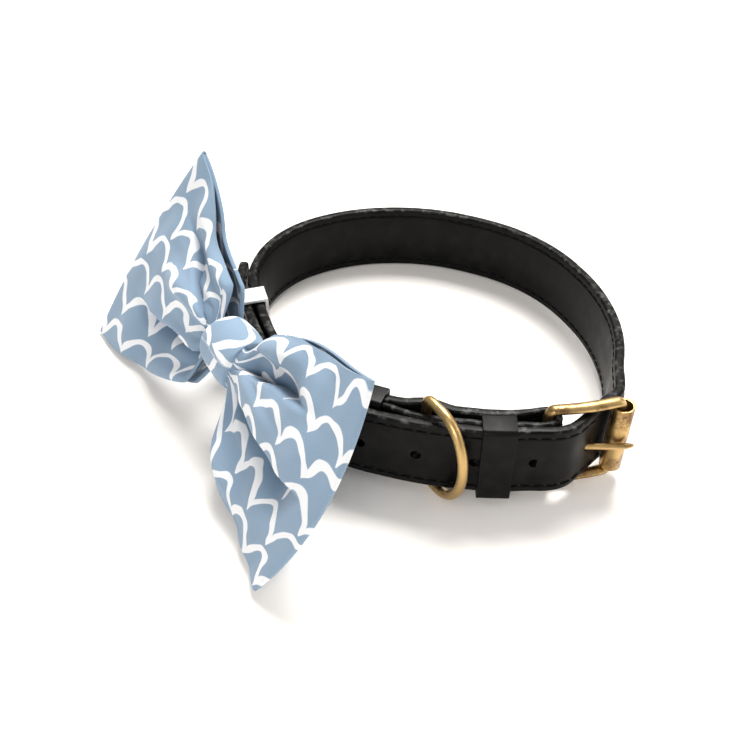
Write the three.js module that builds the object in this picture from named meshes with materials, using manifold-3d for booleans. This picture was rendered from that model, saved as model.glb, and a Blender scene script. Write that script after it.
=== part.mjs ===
// Pet collar in stitched leather with a fabric bow tie, millimetres, +Z up.
// The bow faces -Y, the buckle lies on the +X side, and the collar stands on its lower edges.
// The group is moved at the end so that its box is centred on the Z axis and stands on Z = 0.

import * as THREE from 'three';
import { mergeVertices } from 'three/addons/utils/BufferGeometryUtils.js';
import Module from 'manifold-3d';

const wasm = await Module();
wasm.setup();

// Clearances
const gap = 0.3;
const running_gap = 0.35;
const band_slack = 0.35;

// Leather strap
const strap_width = 25;
const strap_wall = 3.1;
const fold_wall = 2.2;
const strap_edge_round = 0.8;
const skived_until_deg = 12;
const loop_radius = 60;
const strap_step_deg = 6;
const strap_fine_step_deg = 3;

// Points of the strap's way between two rows, at the bend by the roller and through the buckle
const bend_steps = 4;
const threading_steps = 2;

// Places round the loop, in degrees from the buckle's base bar towards the bow
const fine_until_deg = 60;
const fold_end_deg = 55;
const tail_end_deg = 141;
const ring_deg = 32;
const bow_deg = 90;
const keeper_front_deg = 12;
const keeper_rear_deg = 50.5;
const elastic_left_deg = 121;
const elastic_right_deg = 68;

// Lie of the collar: the lower edge rises towards the buckle and the ring
const front_lift = 4.4;
const lift_deg = -30;

// Tail, the free end of the strap, outside the other layers
const tail_rest_gap = 1.2;
const tail_end_gap = 1;

// Prong holes
const hole_diameter = 3.6;
const hole_pitch = 17;
const hole_count = 4;
const hole_sides = 12;
const slot_length = 11;
const slot_height = 3.4;

// Ring pocket between the two layers of the fold
const pocket_half = 9;

// D-ring: ring_room is left above and below the strap
const ring_wire = 3.3;
const ring_room = 1.7;
const ring_depth = 18.4;
const ring_leg = 7.5;
const ring_lean_deg = 46.5;
const ring_corner = 2.6;
const ring_floor_gap = 0.1;

// Buckle: frame_room is left above and below the strap, roller_play at each end of the roller
const bar_diameter = 3.2;
const frame_length = 22.2;
const frame_room = 0.4;
const frame_side_height = 2.9;
const frame_side_depth = 3.9;
const frame_corner = 1.9;
const frame_arch = 0.9;
const frame_deg = 70.7;
const roller_diameter = 6.6;
const roller_wall = 0.6;
const roller_play = 0.6;
const roller_seam_deg = 5;
const roller_seam_turn_deg = 248;
const roller_drop = 0.75;
const prong_diameter = 2.2;
const prong_overhang = 3.4;
const prong_rise_deg = 13;
const prong_tip_share = 0.55;

// Keepers
const keeper_wall = 1.1;
const keeper_front_width = 9.8;
const keeper_rear_width = 9;
const keeper_round = 1.5;
const keeper_drop = 0.4;
const keeper_reach_deg = 6;

// Bow tie
const bow_lean_deg = 31;
const knot_settle = 0.22;
const bow_wall = 1.5;
const bow_sweep = 7;
const bow_puff_front = 7;
const bow_puff_back = 5;
const bow_edge_puff = 0.3;
const bow_pinch_height = 9.7;
const bow_pinch_depth = 10.6;
const pinch_until = 0.19;
const pinch_end = 0.27;
const pinch_flatness = 0.75;
const rise_from = 0.2;
const outer_fold_power = 6;
const bulge_power = 0.8;
const left_reach = 66.5;
const left_slant = 8.8;
const left_bulge = 3.2;
const left_height = 81;
const left_rise = 0.5;
const right_reach = 66.8;
const right_slant = -0.3;
const right_bulge = 7;
const right_height = 71;
const right_rise = -3;

// Knot
const knot_width = 23;
const knot_height = 20.5;
const knot_depth = 18.4;
const knot_wall = 1.6;
const knot_crown = 1.7;
const knot_narrowing = 0.12;
const knot_height_above_strap = 3.2;

// Elastic loops
const elastic_width = 7.5;
const elastic_wall = 1;

// Number of faces round each form
const ring_sides = 10;
const ring_steps = 22;
const frame_sides = 10;
const roller_sides = 28;
const prong_sides = 8;
const prong_steps = 10;
const bow_steps_across = 14;
const knot_steps = 28;

// Places along a wing where the cloth has an edge line, as shares of its reach
const wing_steps = [
  0, 0.09, 0.17, 0.2, 0.23, 0.27, 0.32, 0.39, 0.47, 0.56, 0.65, 0.74, 0.82, 0.89, 0.945, 0.985, 1,
];

// Reach of the strap's middle from the loop's centre, as a share of loop_radius
const loop_rows = [
  { at: 0, reach: 1.054 },
  { at: 8, reach: 1.010 },
  { at: 15, reach: 0.967 },
  { at: 20.5, reach: 0.932 },
  { at: 32, reach: 0.887 },
  { at: 43, reach: 0.860 },
  { at: 55, reach: 0.852 },
  { at: 75, reach: 0.860 },
  { at: 90, reach: 0.873 },
  { at: 97, reach: 0.883 },
  { at: 109, reach: 0.893 },
  { at: 117.7, reach: 0.921 },
  { at: 125, reach: 0.958 },
  { at: 136, reach: 1.027 },
  { at: 143, reach: 1.058 },
  { at: 151, reach: 1.087 },
  { at: 159, reach: 1.102 },
  { at: 167, reach: 1.106 },
  { at: 175, reach: 1.093 },
  { at: 189, reach: 1.060 },
  { at: 203, reach: 1.023 },
  { at: 217, reach: 0.993 },
  { at: 232, reach: 0.967 },
  { at: 248, reach: 0.962 },
  { at: 263, reach: 0.963 },
  { at: 280, reach: 0.970 },
  { at: 290, reach: 0.986 },
  { at: 302, reach: 1.015 },
  { at: 309, reach: 1.037 },
  { at: 316, reach: 1.062 },
  { at: 323, reach: 1.088 },
  { at: 330, reach: 1.118 },
];

// Way of the strap through the buckle: ahead is a share of the frame's length from the base bar,
// side is -1 where it lies against the inside of the roller and 1 where it lies on the fold
const threading_rows = [
  { ahead: 1.066, side: -1.35 },
  { ahead: 0.943, side: -1.02 },
  { ahead: 0.839, side: -0.73 },
  { ahead: 0.7, side: -0.3 },
  { ahead: 0.5, side: 0.3 },
  { ahead: 0.36, side: 0.68 },
  { ahead: 0.24, side: 0.92 },
  { ahead: 0.12, side: 1.02 },
  { ahead: 0.0, side: 1.02 },
];

// Outline of a wing from the knot to its outer fold: edges as shares of half the wing's height
const left_rows = [
  { along: 0, top: 0.18, bottom: -0.2 },
  { along: 0.14, top: 0.32, bottom: -0.42 },
  { along: 0.3, top: 0.39, bottom: -0.62 },
  { along: 0.54, top: 0.53, bottom: -0.82 },
  { along: 0.67, top: 0.7, bottom: -0.9 },
  { along: 0.85, top: 0.88, bottom: -0.98 },
  { along: 1, top: 1, bottom: -1 },
];
const right_rows = [
  { along: 0, top: 0.18, bottom: -0.2 },
  { along: 0.14, top: 0.36, bottom: -0.5 },
  { along: 0.36, top: 0.6, bottom: -0.84 },
  { along: 0.55, top: 0.74, bottom: -0.86 },
  { along: 0.8, top: 0.88, bottom: -0.93 },
  { along: 1, top: 1, bottom: -1 },
];

// Gathers that run out from the knot: from and to are places across the wing, -1 at its lower
// edge and 1 at its upper edge; depth is a share of bow_puff_front, valleys below 0
const left_gathers = [
  { from: 0.75, to: 0.62, until: 0.9, breadth: 0.16, depth: -0.5 },
  { from: 0.3, to: 0.22, until: 0.8, breadth: 0.2, depth: 0.4 },
  { from: -0.15, to: -0.08, until: 0.7, breadth: 0.17, depth: -0.5 },
  { from: -0.6, to: -0.62, until: 0.75, breadth: 0.22, depth: -0.95 },
];
const right_gathers = [
  { from: 0.45, to: 0.3, until: 0.55, breadth: 0.14, depth: -0.85 },
  { from: 0.75, to: 0.68, until: 0.8, breadth: 0.2, depth: 0.5 },
  { from: -0.05, to: 0.0, until: 0.8, breadth: 0.24, depth: 0.5 },
  { from: -0.62, to: -0.45, until: 0.85, breadth: 0.16, depth: -1.0 },
];

// How far each side of a wing puffs out: everywhere, with its bulge, and with its gathers
const front_puff = { all: 0.35, bulge: 0.65, gathers: 0.8 };
const back_puff = { all: 0.4, bulge: 0.6, gathers: -0.25 };

// Section of the knot's band: across is a share of its width, crown a share of knot_crown
const knot_rows = [
  { across: -0.5, crown: 0, inside: true },
  { across: -0.46, crown: 0.46875, inside: false },
  { across: -0.25, crown: 0.875, inside: false },
  { across: 0, crown: 1, inside: false },
  { across: 0.25, crown: 0.875, inside: false },
  { across: 0.46, crown: 0.46875, inside: false },
  { across: 0.5, crown: 0, inside: true },
  { across: 0.25, crown: 0, inside: true },
  { across: -0.25, crown: 0, inside: true },
];

const materials = {
  leather: new THREE.MeshStandardMaterial({ color: 0x1b1a1a, roughness: 0.5, metalness: 0 }),
  brass: new THREE.MeshStandardMaterial({ color: 0x9c7a44, roughness: 0.38, metalness: 1 }),
  cotton: new THREE.MeshStandardMaterial({ color: 0x8fabc6, roughness: 0.9, metalness: 0 }),
  elastic: new THREE.MeshStandardMaterial({ color: 0xe9e9e7, roughness: 0.85, metalness: 0 }),
};

const radians = THREE.MathUtils.degToRad;

// Tables

// Smooth value of one column at a place between rows, flat at the ends of the table.
function readTable(rows, place, column, x) {
  const last = rows.length - 1;
  if (x <= rows[0][place]) return rows[0][column];
  if (x >= rows[last][place]) return rows[last][column];
  let i = 0;
  while (x > rows[i + 1][place]) i += 1;
  const slope = (k) => {
    const a = Math.max(k - 1, 0);
    const b = Math.min(k + 1, last);
    return (rows[b][column] - rows[a][column]) / (rows[b][place] - rows[a][place]);
  };
  const span = rows[i + 1][place] - rows[i][place];
  const t = (x - rows[i][place]) / span;
  const rise = rows[i + 1][column] - rows[i][column];
  const a = slope(i) * span - rise;
  const b = rise - slope(i + 1) * span;
  return rows[i][column] + rise * t + t * (1 - t) * (a * (1 - t) + b * t);
}

// A soft hump, 1 at its middle and 0 beyond its half width.
function hump(distance, half) {
  return Math.abs(distance) < half ? 0.5 + 0.5 * Math.cos((Math.PI * distance) / half) : 0;
}

// Meshes

// Joins rings of points into one closed body, with flat ends unless the rings come round again.
function skin(rings, comesRound) {
  const count = rings[0].length;
  const positions = rings.flat().flatMap((p) => [p.x, p.y, p.z]);
  const faces = [];
  const spans = comesRound ? rings.length : rings.length - 1;
  for (let i = 0; i < spans; i += 1) {
    const here = i * count;
    const there = ((i + 1) % rings.length) * count;
    for (let j = 0; j < count; j += 1) {
      const k = (j + 1) % count;
      faces.push(here + j, there + j, there + k, here + j, there + k, here + k);
    }
  }
  if (!comesRound) {
    const end = (rings.length - 1) * count;
    for (let j = 1; j < count - 1; j += 1) {
      faces.push(0, j, j + 1, end, end + j + 1, end + j);
    }
  }
  return outward(positions, faces);
}

// Turns all faces outwards, by the sign of the enclosed volume.
function outward(positions, faces) {
  const corner = (n) => new THREE.Vector3().fromArray(positions, 3 * n);
  let volume = 0;
  for (let i = 0; i < faces.length; i += 3) {
    const [a, b, c] = [corner(faces[i]), corner(faces[i + 1]), corner(faces[i + 2])];
    volume += a.dot(b.cross(c));
  }
  if (volume < 0) faces.reverse();
  const geometry = new THREE.BufferGeometry();
  geometry.setAttribute('position', new THREE.Float32BufferAttribute(positions, 3));
  geometry.setIndex(faces);
  return geometry;
}

function toSolid(geometry) {
  const bare = geometry.clone();
  bare.deleteAttribute('normal');
  bare.deleteAttribute('uv');
  const merged = mergeVertices(bare, 1e-4);
  return new wasm.Manifold(new wasm.Mesh({
    numProp: 3,
    vertProperties: new Float32Array(merged.attributes.position.array),
    triVerts: new Uint32Array(merged.index.array),
  }));
}

function toGeometry(solid) {
  const mesh = solid.getMesh();
  const geometry = new THREE.BufferGeometry();
  geometry.setAttribute('position', new THREE.Float32BufferAttribute(mesh.vertProperties, 3));
  geometry.setIndex(Array.from(mesh.triVerts));
  return geometry;
}

// Points of an ellipse round a centre, in the plane of two unit directions.
function ellipse(centre, sideways, upward, half_side, half_up, sides) {
  return Array.from({ length: sides }, (_, k) => {
    const angle = (2 * Math.PI * (k + 0.5)) / sides;
    return centre.clone()
      .addScaledVector(sideways, half_side * Math.cos(angle))
      .addScaledVector(upward, half_up * Math.sin(angle));
  });
}

// Round rod along a line of points, with its own radius at each point.
function rod(points, radii, sides, comesRound) {
  const count = points.length;
  const across = new THREE.Vector3();
  const rings = points.map((point, i) => {
    const before = points[comesRound ? (i + count - 1) % count : Math.max(i - 1, 0)];
    const after = points[comesRound ? (i + 1) % count : Math.min(i + 1, count - 1)];
    const along = after.clone().sub(before).normalize();
    if (i === 0) across.copy(planeNormal(points));
    const side = across.clone().addScaledVector(along, -across.dot(along)).normalize();
    return ellipse(point, side, side.clone().cross(along), radii(i)[0], radii(i)[1], sides);
  });
  return skin(rings, comesRound);
}

// Points along the curves of an outline, leaving out empty lines between its arcs.
function outlinePoints(outline, stepsOf) {
  return outline.curves.filter((curve) => curve.getLength() > gap).flatMap((curve) => (
    Array.from({ length: stepsOf(curve) }, (_, k) => curve.getPoint(k / stepsOf(curve)))));
}

// Normal of the plane that a line of points lies in.
function planeNormal(points) {
  const normal = new THREE.Vector3();
  const start = points[0];
  for (let i = 1; i < points.length - 1; i += 1) {
    const a = points[i].clone().sub(start);
    normal.add(a.cross(points[i + 1].clone().sub(start)));
  }
  return normal.normalize();
}

// The loop's plan

function loopPoint(at) {
  const reach = loop_radius * readTable(loop_rows, 'at', 'reach', at);
  const angle = radians(-at);
  return new THREE.Vector2(reach * Math.cos(angle), reach * Math.sin(angle));
}

// Place on the loop, moved outwards from the strap's middle, with its directions.
function spot(at, out = 0) {
  const step = 0.5;
  const along = loopPoint(at - step).sub(loopPoint(at + step)).normalize();
  const normal = new THREE.Vector2(along.y, -along.x);
  return { point: loopPoint(at).addScaledVector(normal, out), along, normal };
}

const lift_direction = new THREE.Vector2(Math.cos(radians(lift_deg)), Math.sin(radians(lift_deg)));
const last_row = loop_rows[loop_rows.length - 1].at;
const far_edge = Math.min(...Array.from({ length: last_row }, (_, at) => (
  spot(at, strap_wall / 2).point.dot(lift_direction))));

// Height of the strap's lower edge above the floor.
function liftAt(point) {
  return (front_lift * (point.dot(lift_direction) - far_edge)) / (2 * loop_radius);
}

// How far the curved strap stands out past a straight piece of a given width.
function bulgeOf(width, at) {
  return (width * width) / (8 * loopPoint(at).length());
}

// Distances from the middle of the main layer; the fold makes room for the keeper and the ring
const fold_out = strap_wall / 2 + gap + fold_wall / 2;
const stack_out = strap_wall + gap + fold_wall + gap;
const tuck = keeper_wall + gap + bulgeOf(keeper_front_width, keeper_front_deg);
const pocket_in = ring_wire + 2 * running_gap - gap - tuck;

// Heights that the metal pieces leave free for the strap
const frame_inner_height = strap_width + 2 * frame_room;
const roller_length = frame_inner_height - 2 * roller_play;
const ring_inner_height = strap_width + 2 * ring_room;

// Buckle's own frame: ahead runs from the base bar to the roller, out points away from the neck
const bar_radius = bar_diameter / 2;
const ahead = new THREE.Vector2(Math.cos(radians(frame_deg)), Math.sin(radians(frame_deg)));
const out = new THREE.Vector2(ahead.y, -ahead.x);
const base_bar = spot(0, fold_wall / 2 + gap + bar_radius).point;
const wrap_radius = bar_radius + gap + fold_wall / 2;
const over_fold = wrap_radius + fold_wall / 2 + gap + strap_wall / 2;
const behind_roller = roller_diameter / 2 + running_gap + strap_wall / 2;

function buckleSpot(forward, outward_by) {
  return base_bar.clone().addScaledVector(ahead, forward).addScaledVector(out, outward_by);
}

const buckle_middle = liftAt(buckleSpot(frame_length / 2, 0)) + strap_width / 2;

// Strap: the stations of its one long way, each with a point, a wall and the number of steps after

function pocketAt(at) {
  const arc = radians(at - ring_deg) * loopPoint(ring_deg).length();
  return hump(arc, pocket_half);
}

function stepsBetween(first, last) {
  const places = [];
  for (let at = first; at < last;) {
    places.push(at);
    at += at < fine_until_deg ? strap_fine_step_deg : strap_step_deg;
  }
  return [...places, last];
}

const fold_rows = [
  { at: 3, out: 1.95 * wrap_radius },
  { at: 8, out: fold_out + tuck },
  { at: ring_deg + 2, out: fold_out + tuck },
  { at: keeper_rear_deg - keeper_reach_deg, out: fold_out },
];

function foldStations() {
  return stepsBetween(fold_rows[0].at, fold_end_deg).reverse().map((at) => {
    const { point } = spot(at, readTable(fold_rows, 'at', 'out', at));
    return { point, wall: fold_wall, steps: 1 };
  });
}

function wrapStations() {
  return [90, 60, 30, 0, -30, -60, -90].map((turn) => {
    const angle = radians(turn);
    const point = buckleSpot(wrap_radius * Math.cos(angle), wrap_radius * Math.sin(angle));
    return { point, wall: fold_wall, steps: 1 };
  });
}

function mainStations() {
  return stepsBetween(strap_fine_step_deg, last_row).map((at) => ({
    point: spot(at, -pocket_in * pocketAt(at)).point,
    wall: THREE.MathUtils.lerp(fold_wall, strap_wall, Math.min(at / skived_until_deg, 1)),
    steps: at === last_row ? bend_steps : 1,
  }));
}

function threadingStations() {
  return threading_rows.map((row) => {
    const side = row.side < 0 ? behind_roller : over_fold;
    const point = buckleSpot(row.ahead * (frame_length + roller_drop), row.side * side);
    return { point, wall: strap_wall, steps: threading_steps };
  });
}

// How far the tail's middle lies outside the main layer's middle.
const tail_rows = [
  { at: 4.5, out: stack_out + tuck + gap },
  { at: 9, out: stack_out + tuck },
  { at: ring_deg + 2, out: stack_out + tuck },
  { at: keeper_rear_deg - keeper_reach_deg, out: stack_out + keeper_wall + 2 * gap },
  { at: keeper_rear_deg + keeper_reach_deg, out: stack_out + keeper_wall + 2 * gap },
  { at: fold_end_deg + 20, out: strap_wall + tail_rest_gap },
  { at: tail_end_deg - 12, out: strap_wall + tail_rest_gap },
  { at: tail_end_deg, out: strap_wall + tail_end_gap },
];

function tailSpot(at) {
  return spot(at, readTable(tail_rows, 'at', 'out', at));
}

function tailStations() {
  return stepsBetween(tail_rows[0].at, tail_end_deg).map((at) => (
    { point: tailSpot(at).point, wall: strap_wall, steps: 1 }));
}

// Smooth line through the stations, with the wall at each of its points.
function strapLine() {
  const stations = [
    ...foldStations(), ...wrapStations(), ...mainStations(),
    ...threadingStations(), ...tailStations(),
  ];
  const points = stations.map(({ point }) => new THREE.Vector3(point.x, point.y, 0));
  const curve = new THREE.CatmullRomCurve3(points, false, 'centripetal');
  const spans = stations.length - 1;
  const line = [];
  stations.forEach(({ wall, steps }, i) => {
    const next = stations[Math.min(i + 1, spans)];
    for (let k = 0; k < (i < spans ? steps : 1); k += 1) {
      const t = (i + k / steps) / spans;
      const along = curve.getTangent(t);
      line.push({
        point: curve.getPoint(t),
        normal: new THREE.Vector3(along.y, -along.x, 0).normalize(),
        wall: THREE.MathUtils.lerp(wall, next.wall, k / steps),
      });
    }
  });
  return line;
}

// Strap's section with rounded edges, standing on its lower edge.
function strapRing({ point, normal, wall }) {
  const half = wall / 2;
  const cut = Math.min(strap_edge_round, 0.4 * wall);
  const low = liftAt(new THREE.Vector2(point.x, point.y));
  const corners = [
    [-half, cut], [-half, strap_width - cut], [-half + cut, strap_width],
    [half - cut, strap_width], [half, strap_width - cut], [half, cut],
    [half - cut, 0], [-half + cut, 0],
  ];
  return corners.map(([side, height]) => {
    const corner = point.clone().addScaledVector(normal, side);
    corner.z = low + height;
    return corner;
  });
}

// Round peg through a wall, for a hole.
function peg(point, direction, diameter, length) {
  const shape = new THREE.CylinderGeometry(diameter / 2, diameter / 2, length, hole_sides);
  shape.applyQuaternion(new THREE.Quaternion().setFromUnitVectors(
    new THREE.Vector3(0, 1, 0), direction));
  return toSolid(shape.translate(point.x, point.y, point.z));
}

// Prong's middle line: from the eye on the base bar, out through the tail, over the roller
const prong_radius = prong_diameter / 2;
const eye_radius = bar_radius + gap + prong_radius;
const roller_centre = buckleSpot(frame_length + roller_drop, 0);
const over_roller = (roller_diameter / 2 + running_gap + prong_radius) / Math.cos(radians(prong_rise_deg));

function prongLine() {
  const reach = frame_length + roller_drop + prong_overhang;
  return Array.from({ length: prong_steps + 1 }, (_, i) => {
    const forward = THREE.MathUtils.lerp(eye_radius, reach, i / prong_steps);
    const rise = over_roller * Math.min(forward / (frame_length + roller_drop), 1);
    const place = buckleSpot(forward, rise);
    return new THREE.Vector3(place.x, place.y, buckle_middle);
  });
}

// The point of the strap's way between base bar and roller where the prong goes through it.
function prongHole() {
  const line = prongLine();
  const through = 3;
  const direction = line[through + 1].clone().sub(line[through - 1]).normalize();
  return { point: line[through], direction };
}

function arcPlaces() {
  const places = [];
  for (let n = 1; n <= hole_count; n += 1) {
    let at = 0;
    let run = frame_length / 2 + gap;
    while (run < n * hole_pitch) {
      at += 0.25;
      run += tailSpot(at).point.distanceTo(tailSpot(at - 0.25).point);
    }
    places.push(at);
  }
  return places;
}

function makeStrap() {
  let solid = toSolid(skin(strapLine().map(strapRing), false));
  for (const at of arcPlaces()) {
    const { point, normal } = tailSpot(at);
    const centre = new THREE.Vector3(point.x, point.y, liftAt(point) + strap_width / 2);
    const direction = new THREE.Vector3(normal.x, normal.y, 0);
    const hole = peg(centre, direction, hole_diameter, strap_wall + 2 * gap);
    solid = solid.subtract(hole);
  }
  const { point, direction } = prongHole();
  solid = solid.subtract(peg(point, direction, prong_diameter + 2 * running_gap, frame_length / 2));
  const slot = new THREE.BoxGeometry(slot_length, 2 * (wrap_radius + fold_wall / 2), slot_height);
  slot.applyMatrix4(new THREE.Matrix4().makeRotationZ(radians(frame_deg)));
  slot.translate(base_bar.x, base_bar.y, buckle_middle);
  return toGeometry(solid.subtract(toSolid(slot)));
}

// Buckle

// Frame's closed line, a rectangle with round corners whose sides arch away from the neck.
function frameStations() {
  const half = frame_inner_height / 2 + frame_side_height / 2;
  const outline = new THREE.Path();
  outline.moveTo(0, -half + frame_corner);
  outline.lineTo(0, half - frame_corner);
  outline.absarc(frame_corner, half - frame_corner, frame_corner, Math.PI, Math.PI / 2, true);
  outline.lineTo(frame_length - frame_corner, half);
  outline.absarc(frame_length - frame_corner, half - frame_corner, frame_corner,
    Math.PI / 2, 0, true);
  outline.lineTo(frame_length, -half + frame_corner);
  outline.absarc(frame_length - frame_corner, -half + frame_corner, frame_corner,
    0, -Math.PI / 2, true);
  outline.lineTo(frame_corner, -half);
  outline.absarc(frame_corner, -half + frame_corner, frame_corner, -Math.PI / 2, -Math.PI, true);
  return outlinePoints(outline, (curve) => (curve.isLineCurve ? 3 : 5));
}

function makeFrame() {
  const stations = frameStations();
  const points = stations.map(({ x, y }) => {
    const arch = frame_arch * Math.sin((Math.PI * x) / frame_length);
    const place = buckleSpot(x, arch);
    return new THREE.Vector3(place.x, place.y, liftAt(place) + strap_width / 2 + y);
  });
  const half = frame_inner_height / 2 + frame_side_height / 2;
  const radii = (i) => {
    const side = THREE.MathUtils.smoothstep(Math.abs(stations[i].y), half - frame_corner, half);
    return [
      THREE.MathUtils.lerp(bar_radius, frame_side_depth / 2, side),
      THREE.MathUtils.lerp(bar_radius, frame_side_height / 2, side),
    ];
  };
  return rod(points, radii, frame_sides, true);
}

function makeRoller() {
  const seam = radians(roller_seam_deg) / 2;
  const start = radians(roller_seam_turn_deg);
  const outer = roller_diameter / 2;
  const inner = outer - roller_wall;
  const shape = new THREE.Shape();
  shape.absarc(0, 0, outer, start + seam, start + 2 * Math.PI - seam, false);
  shape.absarc(0, 0, inner, start + 2 * Math.PI - seam, start + seam, true);
  const tube = new THREE.ExtrudeGeometry(shape, {
    depth: roller_length, bevelEnabled: false, curveSegments: roller_sides,
  });
  return tube.translate(roller_centre.x, roller_centre.y, buckle_middle - roller_length / 2);
}

function makeProng() {
  const line = prongLine();
  const tip = (i) => {
    const share = i === prong_steps ? prong_tip_share : 1;
    return [prong_radius * share, prong_radius * share];
  };
  const shaft = toSolid(rod(line, tip, prong_sides, false));
  const eye = new THREE.TorusGeometry(eye_radius, prong_radius, prong_sides, 2 * prong_sides);
  eye.translate(base_bar.x, base_bar.y, buckle_middle);
  return toGeometry(shaft.add(toSolid(eye)));
}

// D-ring: its bar stands in the pocket between the main layer and the fold
const ring_radius = ring_wire / 2;
const ring_axis = spot(ring_deg, strap_wall / 2 - pocket_in + running_gap + ring_radius);
const ring_half = ring_inner_height / 2 + ring_radius;
const ring_middle = ring_half + ring_radius + ring_floor_gap;

function makeRing() {
  const outline = new THREE.Path();
  outline.moveTo(0, -ring_half + ring_corner);
  outline.lineTo(0, ring_half - ring_corner);
  outline.quadraticCurveTo(0, ring_half, ring_corner, ring_half);
  outline.lineTo(ring_leg, ring_half);
  outline.absellipse(ring_leg, 0, ring_depth - ring_leg, ring_half, Math.PI / 2, -Math.PI / 2, true);
  outline.lineTo(ring_corner, -ring_half);
  outline.quadraticCurveTo(0, -ring_half, 0, -ring_half + ring_corner);
  const lean = new THREE.Vector2().copy(ring_axis.normal)
    .rotateAround(new THREE.Vector2(), radians(ring_lean_deg));
  const steps = { LineCurve: 2, QuadraticBezierCurve: 4, EllipseCurve: ring_steps };
  const points = outlinePoints(outline, (curve) => steps[curve.type]).map(({ x, y }) => {
    const place = ring_axis.point.clone().addScaledVector(lean, x);
    return new THREE.Vector3(place.x, place.y, ring_middle + y);
  });
  return rod(points, () => [ring_radius, ring_radius], ring_sides, true);
}

// Keepers: plain leather loops round the layers, held clear of them all the way
function roundBox(left, right, low, high, corner) {
  const shape = new THREE.Shape();
  shape.absarc(right - corner, low + corner, corner, -Math.PI / 2, 0, false);
  shape.absarc(right - corner, high - corner, corner, 0, Math.PI / 2, false);
  shape.absarc(left + corner, high - corner, corner, Math.PI / 2, Math.PI, false);
  shape.absarc(left + corner, low + corner, corner, Math.PI, 1.5 * Math.PI, false);
  shape.closePath();
  return shape;
}

// Band round some of the layers, from a near to a far distance off the main layer's middle.
function makeBand(at, near, far, width) {
  const place = spot(at);
  const edge = liftAt(spot(at, (near + far) / 2).point);
  const low = edge - band_slack - keeper_drop;
  const high = edge + strap_width + band_slack;
  const wall = keeper_wall;
  const shape = roundBox(near - wall, far + wall, low - wall, high + wall, keeper_round);
  shape.holes.push(roundBox(near, far, low, high, keeper_round - wall));
  const band = new THREE.ExtrudeGeometry(shape, {
    depth: width, bevelEnabled: false, curveSegments: 4,
  });
  const turned = new THREE.Matrix4().makeBasis(
    new THREE.Vector3(place.normal.x, place.normal.y, 0),
    new THREE.Vector3(0, 0, 1),
    new THREE.Vector3(place.normal.y, -place.normal.x, 0),
  );
  band.translate(0, 0, -width / 2).applyMatrix4(turned);
  return band.translate(place.point.x, place.point.y, 0);
}

// The front keeper is held between the main layer and the fold, round the fold and the tail.
function makeKeeperFront() {
  const near = strap_wall / 2 + gap + keeper_wall;
  const far = readTable(tail_rows, 'at', 'out', keeper_front_deg) + strap_wall / 2 + gap;
  return makeBand(keeper_front_deg, near, far, keeper_front_width);
}

// The rear keeper goes round the main layer and the fold, under the tail.
function makeKeeperRear() {
  const near = -strap_wall / 2 - gap - bulgeOf(keeper_rear_width, keeper_rear_deg);
  return makeBand(keeper_rear_deg, near, fold_out + fold_wall / 2 + gap, keeper_rear_width);
}

// Bow tie, in its own frame: x along the bow, y up its leaning plane, z out of its front
const lean_angle = radians(bow_lean_deg);
const tail_front = tailSpot(bow_deg);
const knot_back = knot_depth / 2;
const knot_centre_height = liftAt(tail_front.point) + strap_width + knot_height_above_strap;

// Distance of the knot's middle in front of the tail, so that its back just clears the top edge.
function knotStandOff() {
  const drop = knot_height_above_strap;
  return (knot_back - knot_settle - drop * Math.sin(lean_angle)) / Math.cos(lean_angle);
}

const knot_middle = tail_front.point.y - strap_wall / 2 - knotStandOff();
const bow_frame = new THREE.Matrix4().makeBasis(
  new THREE.Vector3(1, 0, 0),
  new THREE.Vector3(0, Math.sin(lean_angle), Math.cos(lean_angle)),
  new THREE.Vector3(0, -Math.cos(lean_angle), Math.sin(lean_angle)),
).setPosition(0, knot_middle, knot_centre_height);

const wings = {
  left: {
    side: -1, reach: left_reach, slant: left_slant, bulge: left_bulge,
    height: left_height, rise: left_rise, rows: left_rows, gathers: left_gathers,
  },
  right: {
    side: 1, reach: right_reach, slant: right_slant, bulge: right_bulge,
    height: right_height, rise: right_rise, rows: right_rows, gathers: right_gathers,
  },
};

// Height of the gathers at a place on a wing, as a share of the puff.
function gathersAt(wing, along, across) {
  return wing.gathers.reduce((sum, gather) => {
    const centre = THREE.MathUtils.lerp(gather.from, gather.to, along);
    const fade = hump(along - gather.until / 2, gather.until / 2 + 0.12);
    return sum + gather.depth * fade * hump(across - centre, 1.6 * gather.breadth);
  }, 0);
}

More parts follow.
